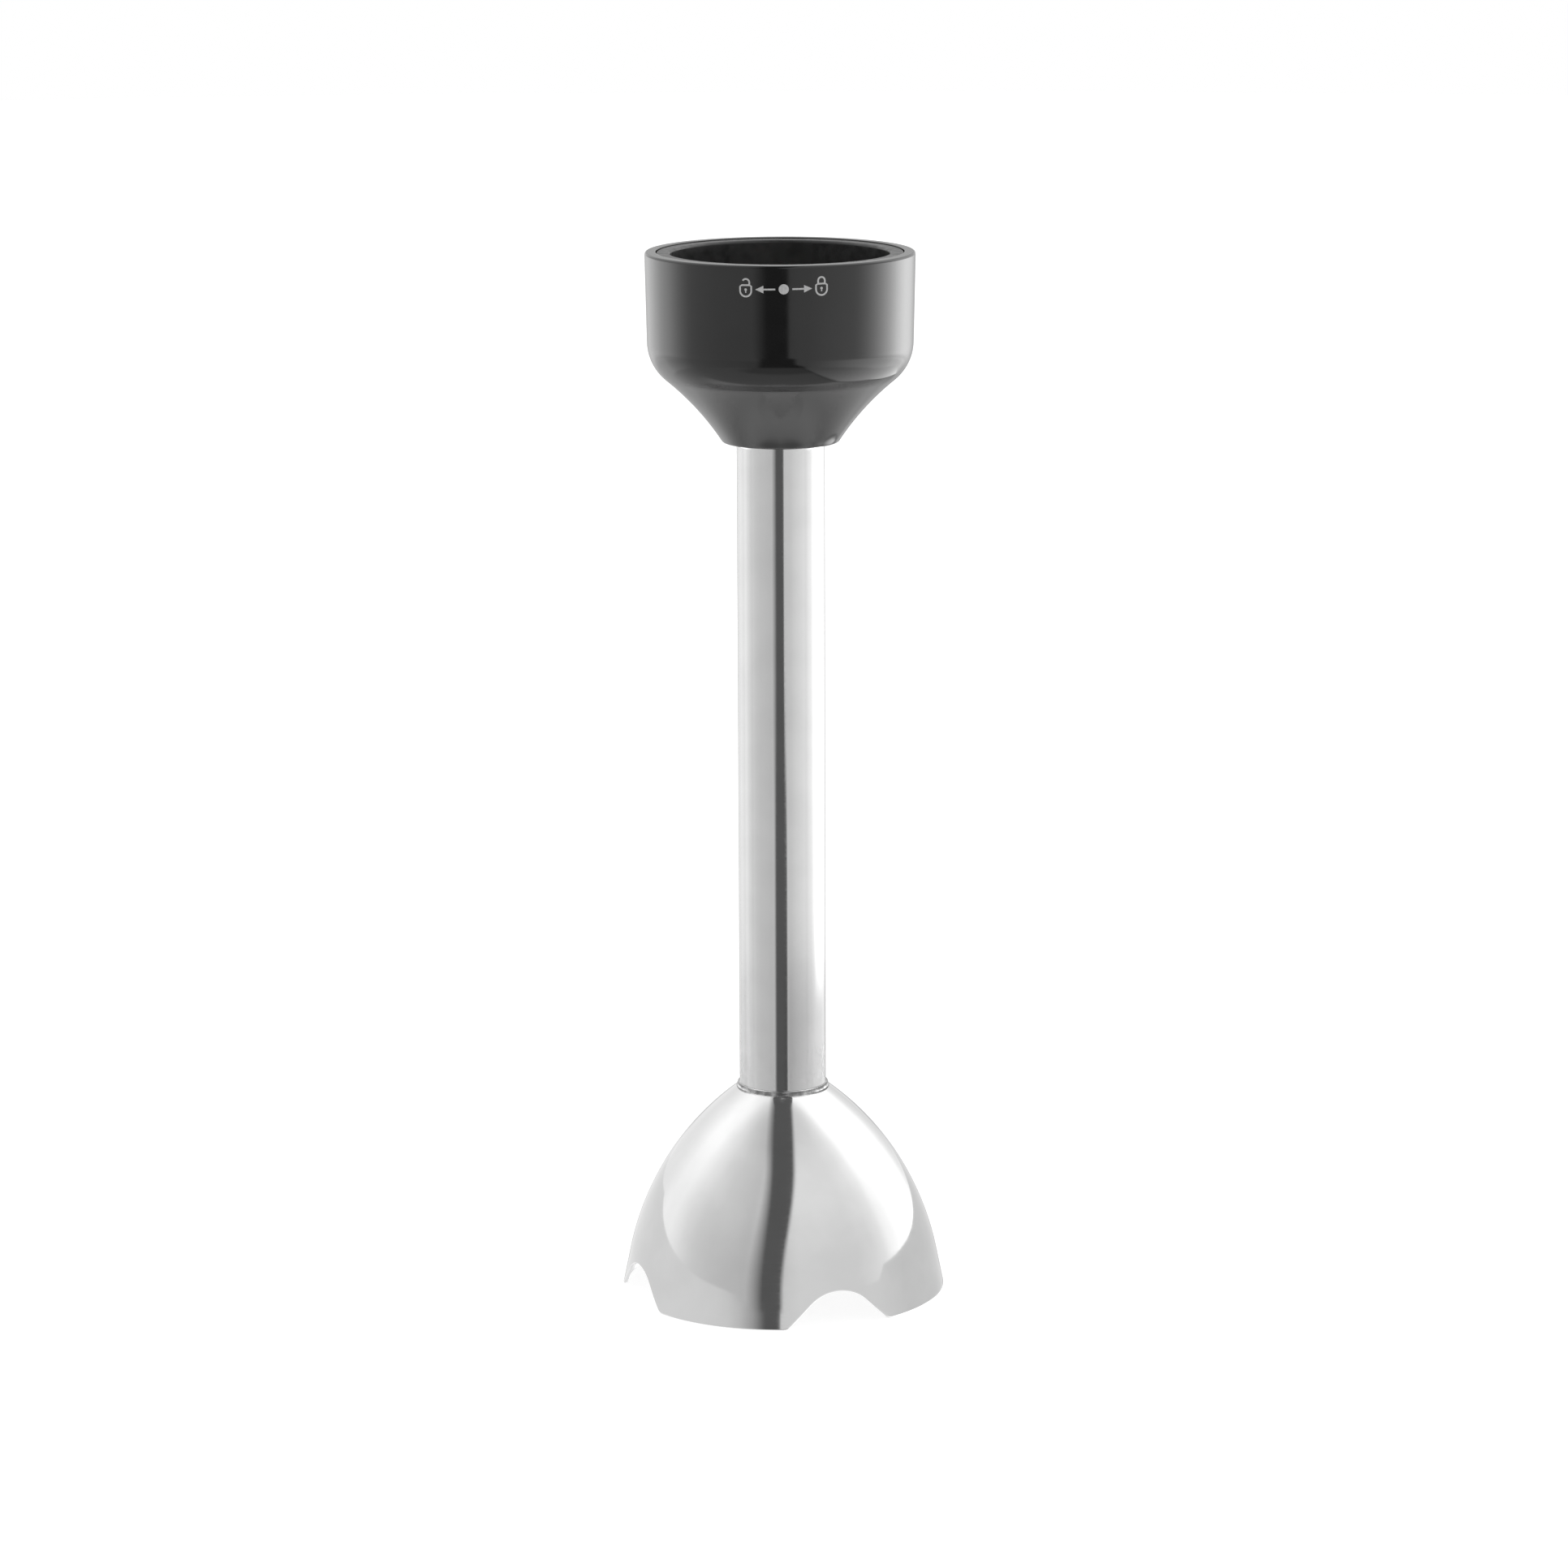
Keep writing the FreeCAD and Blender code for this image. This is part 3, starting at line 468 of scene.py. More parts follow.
def screw_steel():
    """Zinc-plated screws, slightly blue and cloudy."""
    finish = Finish("screw_steel", (0.5, 0.52, 0.55), 0.3, metallic=1.0)
    finish.colours(finish.noise(1.2, detail=4), (0.42, 0.44, 0.47), (0.58, 0.6, 0.62))
    finish.rough(finish.noise(0.6, detail=3), 0.24, 0.4)
    finish.bump(finish.noise(0.25, detail=2), 0.006)
    return finish


def bronze():
    """Oil-soaked sintered bronze, with open pores."""
    finish = Finish("bronze", (0.42, 0.25, 0.11), 0.5, metallic=1.0)
    finish.colours(finish.noise(0.4, detail=4), (0.3, 0.17, 0.07), (0.5, 0.31, 0.15))
    finish.rough(finish.noise(0.8, detail=2), 0.42, 0.6)
    finish.bump(finish.cells(0.22), 0.02)
    return finish


def white_plastic():
    """Natural acetal: milky, waxy and a little worn."""
    finish = Finish("white_plastic", (0.74, 0.73, 0.69), 0.38, IOR=1.48,
                    Subsurface_Weight=0.25, Subsurface_Scale=0.002)
    finish.colours(finish.noise(3, detail=3), (0.68, 0.665, 0.62), (0.78, 0.77, 0.735))
    finish.rough(finish.noise(1.0, detail=3), 0.32, 0.46)
    finish.bump(finish.noise(0.4, detail=3), 0.008)
    return finish


def grey_plastic():
    """Glass-filled grey plastic with short fibres under its skin."""
    finish = Finish("grey_plastic", grey(0.16), 0.45)
    fibres = finish.noise(1, detail=3, place=finish.round_axis(14, 6.0, 6.0))
    finish.colours(fibres, grey(0.125), (0.195, 0.195, 0.2))
    finish.rough(finish.noise(0.8, detail=3), 0.38, 0.54)
    finish.bump(fibres, 0.006)
    return finish


def rubber_black():
    """Black nitrile rubber with a dull bloom."""
    finish = Finish("rubber_black", grey(0.018), 0.6, IOR=1.52)
    finish.colours(finish.noise(1.8, detail=4), grey(0.013), grey(0.028))
    finish.rough(finish.noise(0.9, detail=3), 0.5, 0.7)
    finish.bump(finish.noise(0.2, detail=3), 0.01)
    return finish


def felt():
    """Pressed wool felt: matted fibres that catch light at the edges."""
    finish = Finish("felt", (0.44, 0.4, 0.33), 0.95, Sheen_Weight=0.4, Sheen_Roughness=0.5)
    finish.colours(finish.noise(0.5, detail=6), (0.34, 0.31, 0.26), (0.52, 0.48, 0.41))
    finish.bump(finish.noise(0.18, detail=6, roughness=0.7), 0.08)
    return finish


def blade_steel():
    """Blade stock: satin faces ground in one direction across the wings."""
    finish = Finish("blade_steel", grey(0.58), 0.2, metallic=1.0)
    stretched = fill(finish.add("ShaderNodeMapping"), Scale=(2500, 120, 600))
    finish.link(finish.place, stretched.inputs["Vector"])
    lines = finish.noise(1, detail=3, place=stretched.outputs[0])
    finish.colours(finish.noise(3, detail=3), grey(0.54), grey(0.61))
    finish.rough(lines, 0.15, 0.28)
    finish.bump(lines, 0.002)
    return finish


finishes = {make.__name__: make().material for make in (
    polished_steel, black_gloss, black_socket, print_grey, plain_steel, screw_steel, bronze,
    white_plastic, grey_plastic, rubber_black, felt, blade_steel)}


def paint_cad_nodes():
    """Every CAD node takes the finish of the material slot that the record gives it."""
    for part in frame["record"]["subparts"]:
        materials = frame["nodes"][part["node"]].data.materials
        materials.clear()
        materials.append(finishes[part["material_slot"]])


# ---- Bell guard ----

def notch_height(across):
    """The height of a notch's edge at a distance to the side of its middle."""
    across = abs(across)
    roof = ((NOTCH_HALF * sin(NOTCH_FLANK) - NOTCH_DEPTH * cos(NOTCH_FLANK))
            / (1 - cos(NOTCH_FLANK)))
    foot = NOTCH_HALF + NOTCH_CORNER * tan(NOTCH_FLANK / 2)
    bend = foot - NOTCH_CORNER * sin(NOTCH_FLANK)
    if across >= foot:
        return 0.0
    if across >= bend:
        return NOTCH_CORNER - sqrt(NOTCH_CORNER ** 2 - (foot - across) ** 2)
    if across >= roof * sin(NOTCH_FLANK):
        return NOTCH_CORNER * (1 - cos(NOTCH_FLANK)) + (bend - across) * tan(NOTCH_FLANK)
    return NOTCH_DEPTH - roof + sqrt(roof ** 2 - across ** 2)


def rim_edge(angle, radius_at_foot):
    """The height of the bell's lower edge at an azimuth, where its skirt is cut by a notch."""
    step = 2 * pi / NOTCH_COUNT
    turn = (angle - FRONT - NOTCH_TURN + step / 2) % step - step / 2
    height = 0.0
    for _ in range(4):
        radius = radius_at_foot - height * tan(SKIRT_LEAN)
        height = notch_height(radius * sin(turn))
    return height


def bell_guard():
    """The drawn bell. Its upper part is turned, and below that each column of points runs down
    to the notched edge, which is rounded over."""
    skirt_top = BELL_RIM - SKIRT_HEIGHT * tan(SKIRT_LEAN)
    centre = Vector((skirt_top - DOME_RADIUS * cos(SKIRT_LEAN),
                     SKIRT_HEIGHT - DOME_RADIUS * sin(SKIRT_LEAN)))
    inner_dome = DOME_RADIUS - BELL_SHEET
    inner_rim = BELL_RIM - BELL_SHEET / cos(SKIRT_LEAN)
    band_top = SKIRT_HEIGHT + 3      # the notches end well below it

    def reach(height, rim, dome):
        """How far out a face of the sheet is: a straight skirt below, and the dome above."""
        if height < centre.y + dome * sin(SKIRT_LEAN):
            return rim - height * tan(SKIRT_LEAN)
        return centre.x + sqrt(dome ** 2 - (height - centre.y) ** 2)

    def dome_height(across, dome):
        return centre.y + sqrt(dome ** 2 - (across - centre.x) ** 2)

    lip_round = 0.4
    upper = trace([
        (reach(band_top, BELL_RIM, DOME_RADIUS), band_top, DOME_RADIUS),
        (LIP_RADIUS, dome_height(LIP_RADIUS, DOME_RADIUS)),
        (LIP_RADIUS, LIP_TOP - lip_round, lip_round),
        (LIP_RADIUS - lip_round, LIP_TOP),
        (SLEEVE_BORE, LIP_TOP),
        (SLEEVE_BORE, dome_height(SLEEVE_BORE, inner_dome), -inner_dome),
        (reach(band_top, inner_rim, inner_dome), band_top),
    ], edge=0.08, closed=False)

    columns, band_rows, edge_steps = 468, 14, 4
    edge_round = 0.28

    def face_down(angle, rim, dome, inwards):
        """Points down one face of the band, and round its half of the notched edge."""
        low = rim_edge(angle, rim) + edge_round
        points = []
        for row in range(1, band_rows):
            height = band_top + (low - band_top) * row / band_rows
            points.append((reach(height, rim, dome), height))
        for step in range(edge_steps + 1):
            swing = pi / 2 * step / edge_steps
            across = reach(low, rim, dome) + inwards * edge_round * (1 - cos(swing))
            points.append((across, low - edge_round * sin(swing)))
        return points

    loops = []
    for column in range(columns):
        angle = 2 * pi * column / columns
        points = [tuple(point) for point in upper]
        points += face_down(angle, inner_rim, inner_dome, 1)
        points += reversed(face_down(angle, BELL_RIM, DOME_RADIUS, -1))
        loops.append([on_circle(angle, *point) for point in points])
    shape = bmesh.new()
    add_loops(shape, loops)
    bell = settle(finish_mesh(shape, "bell_shell"), "housing", "polished_steel", "bell_guard")
    bell.visible_glossy = False


# ---- Tube ----

def shaft_tube():
    shape = bmesh.new()
    revolve(shape, trace([(TUBE_BORE, TUBE_FOOT), (TUBE_RADIUS, TUBE_FOOT),
                          (TUBE_RADIUS, TUBE_TOP), (TUBE_BORE, TUBE_TOP)]), 256)
    settle(finish_mesh(shape, "steel_tube"), "housing", "polished_steel", "shaft_tube")


# ---- Collar ----

def cover_outline():
    """The collar's outer shell: rounded foot, trumpet neck, shoulder and a near upright side."""
    foot_round, rim_round = 0.8, 0.5
    foot_x = NECK_FOOT[0] - foot_round * cos(NECK_LEAN)
    foot_z = NECK_FOOT[1] + foot_round * sin(NECK_LEAN) - foot_round
    sweep = Vector((NECK_FOOT[0] + NECK_SWEEP * cos(NECK_LEAN),
                    NECK_FOOT[1] - NECK_SWEEP * sin(NECK_LEAN)))
    lean = Vector((cos(SHOULDER_LEAN), -sin(SHOULDER_LEAN)))
    side = Vector((cos(SIDE_LEAN), -sin(SIDE_LEAN)))
    bend = sweep - lean * NECK_SWEEP
    centre = bend - lean * SHOULDER_RADIUS
    side_foot = centre + side * SHOULDER_RADIUS
    rim_x = side_foot.x + (RIM_TOP - side_foot.y) * tan(SIDE_LEAN)
    inner_side = centre + side * (SHOULDER_RADIUS - COVER_WALL)
    inner_bend = centre + lean * (SHOULDER_RADIUS - COVER_WALL)
    cavity_floor = 181.5
    floor_x = sweep.x - sqrt((NECK_SWEEP + COVER_WALL) ** 2 - (cavity_floor - sweep.y) ** 2)
    flange_well = 10.6
    ring_groove, groove_low, groove_high = 10.24, 176.8, 178.4
    return [
        (SLEEVE_BORE, foot_z),
        (foot_x, foot_z, foot_round),
        (*NECK_FOOT, -NECK_SWEEP),
        (*bend, SHOULDER_RADIUS),
        tuple(side_foot),
        (rim_x, RIM_TOP - rim_round, rim_round),
        (rim_x - rim_round, RIM_TOP),
        (rim_x - COVER_WALL, RIM_TOP),
        (*inner_side, -(SHOULDER_RADIUS - COVER_WALL)),
        (*inner_bend, NECK_SWEEP + COVER_WALL),
        (floor_x, cavity_floor),
        (flange_well, cavity_floor),
        (flange_well, FLANGE_FOOT),
        (SLEEVE_BORE, FLANGE_FOOT),
        (SLEEVE_BORE, groove_high),
        (ring_groove, groove_high),
        (ring_groove, groove_low),
        (SLEEVE_BORE, groove_low),
    ]


def collar_cover():
    shape = bmesh.new()
    revolve(shape, trace(cover_outline(), edge=0.12), 320)
    boss_foot, boss_hole, boss_radius = 181.2, 1.15, 3.0
    boss = trace([(boss_hole, boss_foot), (boss_radius, boss_foot),
                  (boss_radius, FLANGE_FOOT), (boss_hole, FLANGE_FOOT)])
    for centre in screw_places():
        revolve(shape, boss, 40, centre)
    settle(finish_mesh(shape, "collar_shell"), "housing", "black_gloss", "collar_cover")


def screw_places():
    return [on_circle(2 * pi * index / SCREW_COUNT, SCREW_CIRCLE, 0)[:2]
            for index in range(SCREW_COUNT)]


def collar_liner():
    """The socket that the motor body goes into, with its guiding mouth and twist-lock lugs."""
    mouth_round, mouth_depth = 0.6, 6.2
    guide_foot = LINER_TOP - mouth_round - mouth_depth
    outer = SOCKET_RADIUS + LINER_WALL
    foot_radius, bend_height = 19.0, 195.0
    slope = (outer - foot_radius) / (bend_height - LINER_FOOT)
    wall_across = LINER_WALL * hypot(1, slope)
    floor_x = foot_radius + slope * (LINER_FLOOR - LINER_FOOT) - wall_across
    bend_z = bend_height - (outer - wall_across - SOCKET_RADIUS) / slope
    shape = bmesh.new()
    revolve(shape, trace([
        (HUB_HOLE, LINER_FOOT),
        (foot_radius, LINER_FOOT),
        (outer, bend_height),
        (outer, guide_foot),
        (LIP_OUTER, guide_foot + LINER_WALL),
        (LIP_OUTER, LINER_TOP),
        (MOUTH_RADIUS + mouth_round, LINER_TOP, mouth_round),
        (MOUTH_RADIUS, LINER_TOP - mouth_round),
        (MOUTH_RADIUS, guide_foot),
        (SOCKET_RADIUS, guide_foot - LINER_WALL / 2),
        (SOCKET_RADIUS, bend_z),
        (floor_x, LINER_FLOOR),
        (HUB_HOLE, LINER_FLOOR),
    ], edge=0.25), 320)
    for index in range(LUG_COUNT):
        add_lug(shape, 2 * pi * index / LUG_COUNT)
    settle(finish_mesh(shape, "socket_liner"), "housing", "black_socket", "collar_liner")


def add_lug(shape, angle):
    """A rounded block that stands in from the socket's wall, along its curve."""
    low, high, half, reach = 199.0, 202.0, 3.0, 20.4
    back, soft = SOCKET_RADIUS + 0.4, 0.35
    outline = trace([(reach, low), (back, low), (back, high), (reach, high)], edge=soft)
    steps = 12
    loops = []
    for step in range(steps + 1):
        share = step / steps * 2 - 1
        inset = soft if abs(share) == 1 else 0.0
        turn = angle + share * asin(half / SOCKET_RADIUS)
        middle = Vector(((reach + back) / 2, (low + high) / 2))
        loop = []
        for point in outline:
            shrunk = point + (middle - point).normalized() * inset
            loop.append(on_circle(turn, *shrunk))
        loops.append(loop)
    add_rod(shape, loops)


def collar_screws():
    """Pan-head screws with a cross recess and a coarse thread."""
    shape = bmesh.new()
    head = 2.75
    head_top, tip = top_of("collar_screws"), foot_of("collar_screws")
    crown = (head_top - LINER_FLOOR) * 0.6
    thread, core, pitch = 1.45, 1.1, 1.0
    point_length, plain_length = 2, 0.5
    for centre in screw_places():
        height = tip + point_length
        profile = [(0, tip), (core, height)]
        while height + pitch < LINER_FLOOR - plain_length:
            for share, radius in ((0.35, core), (0.5, thread), (0.65, core)):
                profile.append((radius, height + pitch * share))
            height += pitch
        profile += [(core, LINER_FLOOR), (head, LINER_FLOOR), (head, head_top - crown, crown),
                    (head - crown, head_top), (0, head_top)]
        revolve(shape, trace(profile, edge=0.1), 48, centre)
    screws = finish_mesh(shape, "pan_head_screws")
    cut_recesses(screws, head_top)
    settle(screws, "housing", "screw_steel", "collar_screws")


def cut_recesses(screws, head_top):
    """Cut a tapered cross into each screw's head, each screw turned further than the last."""
    reach, half, depth, turn = 1.5, 0.35, 1.1, 0.5
    corners = []
    for quarter in range(4):
        spin = Matrix.Rotation(pi / 2 * quarter, 2)
        corners += [spin @ Vector(corner)
                    for corner in ((half, half), (half, reach), (-half, reach))]
    shape = bmesh.new()
    for number, centre in enumerate(screw_places()):
        loops = []
        for taper, height in ((0.45, -depth), (1.0, 0.0), (1.1, 1.0)):
            spin = Matrix.Rotation(turn * number, 2)
            turned = [spin @ corner * taper + Vector(centre) for corner in corners]
            loops.append([(*point, head_top + height) for point in turned])
        add_rod(shape, loops)
    cutter = finish_mesh(shape, "cutter")
    cut = screws.modifiers.new("recess", "BOOLEAN")
    cut.object = cutter
    cut.operation = "DIFFERENCE"
    cut.solver = "EXACT"
    graph = bpy.context.evaluated_depsgraph_get()
    mesh = bpy.data.meshes.new_from_object(screws.evaluated_get(graph))
    screws.modifiers.clear()
    screws.data = mesh
    bpy.data.objects.remove(cutter)
    mesh.set_sharp_from_angle(angle=radians(35))


# ---- Marks on the collar ----

PRINT_HEIGHT = RIM_TOP - 4.5
PRINT_TURN = radians(1.5)       # the marks sit a little to the right of the front
PRINT_TILT = radians(0.8)
PRINT_LIFT = 0.02               # how far the ink stands out of the collar
PRINT_ROOT = -0.05              # and how far out its hidden root is
STROKE = 0.33


def arc_points(centre, radius, start, end, steps=16):
    points = []
    for step in range(steps + 1):
        angle = radians(start + (end - start) * step / steps)
        points.append(Vector(centre) + Vector((cos(angle), sin(angle))) * radius)
    return points


class Print:
    """Thin marks drawn on a flat plan (right, up) and wrapped round the collar."""

    def __init__(self):
        self.shape = bmesh.new()

    def wrap(self, point, lift):
        turned = Matrix.Rotation(PRINT_TILT, 2) @ point
        height = PRINT_HEIGHT + turned.y
        radius = RIM_RADIUS - (RIM_TOP - height) * tan(SIDE_LEAN) + lift
        return on_circle(FRONT + PRINT_TURN + turned.x / radius, radius, height)

    def line(self, points, width=STROKE, closed=False):
        """A line of even width through points."""
        last = len(points) - 1
        rows = []
        for index, point in enumerate(points):
            before = points[index - 1] if closed or index else point
            after = points[(index + 1) % len(points)] if closed or index < last else point
            along = (after - before).normalized()
            across = Vector((-along.y, along.x)) * width / 2
            left, right = point + across, point - across
            rows.append([self.wrap(left, PRINT_LIFT), self.wrap(right, PRINT_LIFT),
                         self.wrap(right, PRINT_ROOT), self.wrap(left, PRINT_ROOT)])
        if closed:
            add_loops(self.shape, rows)
        else:
            add_rod(self.shape, rows)

    def patch(self, points):
        """A filled outline, built as rings that close in on its middle."""
        middle = sum(points, Vector((0, 0))) / len(points)
        rings = [[self.wrap(point, PRINT_ROOT) for point in points]]
        for share in (0.0, 0.34, 0.67):
            rings.append([self.wrap(point.lerp(middle, share), PRINT_LIFT) for point in points])
        first_new, count = len(self.shape.verts), len(points)
        add_loops(self.shape, rings, close_rows=False)
        top = self.shape.verts.new(self.wrap(middle, PRINT_LIFT))
        self.shape.verts.ensure_lookup_table()
        ring = self.shape.verts[-count - 1:-1]
        for index in range(count):
            self.shape.faces.new((ring[index], ring[(index + 1) % count], top))
        self.shape.faces.new(self.shape.verts[first_new:first_new + count])


def lock_marks():
    """Turn marks: a dot, an arrow each way, an open padlock and a closed one."""
    dot = 1.0
    arrow_start, arrow_step, arrow_points = 1.65, 0.3, 10
    head_start, head_end, head_half = 3.95, 5.56, 0.74
    lock_away, lock_height = 7.45, -0.15
    marks = Print()
    marks.patch(arc_points((0, 0), dot, 0, 337.5, 15))
    for side in (-1, 1):
        marks.line([Vector((side * (arrow_start + arrow_step * step), 0))
                    for step in range(arrow_points)])
        marks.patch([Vector((side * head_end, 0)), Vector((side * head_start, head_half)),
                     Vector((side * head_start, -head_half))])
        add_padlock(marks, Vector((side * lock_away, lock_height)), is_open=side < 0)
    piece = finish_mesh(marks.shape, "lock_marks", sharp_from=radians(30))
    piece.data.materials.append(finishes["print_grey"])
    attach(piece, "housing")


def add_padlock(marks, centre, is_open):
    half, shoulder, corner, top = 1.12, 0.75, 0.75, 1.0
    body = arc_points((0, -0.1), half, 180, 360)
    body += [Vector((half, shoulder)), Vector((corner, top)),
             Vector((-corner, top)), Vector((-half, shoulder))]
    marks.line([centre + point for point in body], closed=True)
    keyhole, slot_foot, slot_width = 0.26, -0.5, 0.24
    marks.patch([centre + point for point in arc_points((0, 0.12), keyhole, 0, 330, 11)])
    marks.line([centre, centre + Vector((0, slot_foot))], width=slot_width)
    leg_foot = 1.1
    if is_open:
        shackle = [Vector((corner, leg_foot))] + arc_points((0.05, 1.5), 0.7, 0, 150)
    else:
        reach = 0.68
        shackle = [Vector((reach, leg_foot))] + arc_points((0, 1.6), reach, 0, 180)
        shackle.append(Vector((-reach, leg_foot)))
    marks.line([centre + point for point in shackle])


# ---- Inside pieces ----

def float_spring():
    """The coil spring under the coupling, made in one fixed shape; the real spring flattens as the
    rotor is pressed down.
    """
    wire, coil, turns = 0.4, 4.4, 6
    low, high = SPRING_SEAT + wire, SPRING_TOP - wire
    steps, sides = 48 * turns, 14
    rise = (high - low) / (2 * pi * turns)
    shape = bmesh.new()
    loops = []
    for step in range(steps + 1):
        angle = 2 * pi * turns * step / steps
        out = Vector((cos(angle), sin(angle), 0))
        along = Vector((-sin(angle) * coil, cos(angle) * coil, rise)).normalized()
        up = along.cross(out)
        centre = out * coil + Vector((0, 0, low + rise * angle))
        loops.append([centre + (out * cos(2 * pi * side / sides)
                                + up * sin(2 * pi * side / sides)) * wire
                      for side in range(sides)])
    add_rod(shape, loops)
    spring = settle(finish_mesh(shape, "coil_spring", sharp_from=radians(50)), "housing",
                    "plain_steel", "float_spring")
    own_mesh(spring)


# ---- Studio ----

class Surroundings(Nodes):
    """The world's shader, written as brightness by direction."""

    def __init__(self):
        world = bpy.data.worlds.new("light_tent")
        bpy.context.scene.world = world
        world.use_nodes = True
        super().__init__(world.node_tree)
        self.background = self.tree.nodes["Background"]
        fill(self.background, Color=(1, 1, 1, 1))
        direction = self.add("ShaderNodeTexCoord").outputs["Generated"]
        self.x, self.y, self.z = self.split(direction)
        self.azimuth = self.turn_from_front(direction)
        self.elevation = self.compute("ARCSINE", self.z)

    def ratio(self, value, whole):
        """value / whole, kept from 0 to 1."""
        share = self.compute("DIVIDE", value, whole)
        return self.compute("MINIMUM", self.compute("MAXIMUM", share, 0), 1)

    def rising(self, start, end, low=0.0, high=1.0):
        """A soft step by elevation, from start to end in degrees."""
        return self.step(self.elevation, radians(start), radians(end), low, high)

    def turning(self, start, end, low=0.0, high=1.0):
        """A soft step by azimuth, from start to end in degrees."""
        return self.step(self.azimuth, radians(start), radians(end), low, high)

    def mix(self, share, low, high):
        """low where share is 0, and high where it is 1."""
        return self.add_up(low, self.multiply(share, self.less(high, low)))


# Brightness round the tent, by degrees to the right of the camera's side: above the horizon,
# a little below it, and lower still.
HIGH_WALLS = {-180: 1.05, -150: 1.12, -135: 1.22, -120: 1.38, -105: 1.35, -90: 1.1, -75: 0.92,
              -60: 0.82, -45: 0.76, -30: 0.7, 12: 0.95, 60: 0.97, 75: 1.05, 85: 1.2, 92: 1.45,
              107: 1.7, 125: 2.2, 140: 1.7, 150: 1.2, 160: 0.95, 180: 1.05}
LOW_WALLS = {-180: 0.5, -168: 0.75, -155: 1.1, -134: 1.2, -108: 1.2, -90: 1.04, -72: 0.88,
             -57: 0.81, -43: 0.78, -28: 0.74, 24: 0.85, 38: 0.97, 53: 1.06, 68: 1.16, 85: 1.34,
             103: 1.6, 135: 1.8, 150: 1.5, 160: 1.1, 170: 0.6, 180: 0.5}
UNDER_WALLS = {-180: 0.5, -168: 0.75, -128: 1.8, -104: 1.4, -86: 0.9, -70: 0.82, -54: 0.75,
               -40: 0.7, -26: 0.6, 24: 0.85, 38: 1.15, 52: 1.5, 66: 2.0, 82: 2.5, 101: 3.2,
               123: 3.6, 145: 2.5, 157: 1.1, 170: 0.7, 180: 0.5}
DARK = 0.13


def front_gap(tent):
    """How dark the gap that the camera looks through makes the tent, from 0 to 1. Its edges are
    given by how far a direction points to the right: the left edge is soft, the right sharp."""
    overhead = tent.rising(5, 58)
    low = tent.rising(-11, -12.5)
    under = tent.rising(-23, -31)
    level = tent.rising(-8, 4)
    left = tent.add_up(-0.2, tent.multiply(level, -0.07), tent.multiply(overhead, 0.13),
                       tent.multiply(low, -0.05))
    right = tent.add_up(0.09, tent.multiply(level, -0.145), tent.multiply(overhead, 0.19),
                        tent.multiply(low, 0.1), tent.multiply(under, 0.12))
    left_blur = tent.add_up(0.2, tent.multiply(overhead, -0.08), tent.multiply(low, -0.1))
    right_blur = 0.055
    fade_left = tent.ratio(tent.less(left, tent.x), left_blur)
    fade_right = tent.ratio(tent.less(tent.x, right), right_blur)
    facing = tent.step(tent.y, 0.12, 0.06)
    return tent.multiply(tent.less(1, fade_left),
                         tent.less(1, fade_right), facing)


def side_boxes(tent):
    """Two strip lights behind the object, from the horizon down."""
    left_brightness, right_brightness = 1.1, 3.5
    left = tent.multiply(tent.turning(-80, -116), tent.turning(-175, -130), left_brightness)
    right = tent.multiply(tent.turning(64, 126), tent.turning(164, 118), right_brightness)
    return tent.multiply(tent.add_up(left, right), tent.rising(-2, -4), tent.rising(-20, -12))


def plinth(tent):
    """What lies under the object: the paper around it, and a plinth with a darker front and a
    thin dark line at its right edge. Places on it are given as slopes: across and ahead."""
    drop = tent.compute("MAXIMUM", tent.multiply(tent.z, -1), 0.001)
    across = tent.compute("DIVIDE", tent.x, drop)
    ahead = tent.compute("DIVIDE", tent.y, drop)
    right_paper = tent.step(ahead, -1.4, 1.0, 1.0, 3.0)
    left_paper = tent.step(ahead, -0.4, 1.2, 0.85, 1.4)
    paper = tent.mix(tent.step(across, 0.2, 0.5), left_paper, right_paper)

    front = tent.step(ahead, -1.0, -0.75, 0.52, 0.82)
    drawn_in = tent.less(ahead,
                            tent.multiply(tent.compute("ABSOLUTE", across), 0.3))
    top = tent.add_up(front, tent.step(drawn_in, -0.26, -0.17, 0, 0.83),
                      tent.step(ahead, 0.03, 0.4, 0, -0.55), tent.step(ahead, 1.2, 1.8, 0, -0.25))

    # The right edge slants outwards as it goes ahead, and less so beyond a bend.
    bend = 0.55
    near = tent.compute("MINIMUM", tent.compute("MAXIMUM", ahead, 0), bend)
    far = tent.compute("MAXIMUM", tent.less(ahead, bend), 0)
    from_edge = tent.add_up(across, tent.multiply(near, -0.42), tent.multiply(far, -0.1))
    on_top = tent.multiply(tent.step(across, -1.1, -0.5), tent.step(from_edge, 0.61, 0.58))
    line = tent.multiply(tent.step(from_edge, 0.56, 0.58), tent.step(from_edge, 0.62, 0.6),
                         tent.step(ahead, 2.6, 1.6), -0.6)
    return tent.multiply(tent.mix(on_top, paper, top), tent.add_up(1, line))


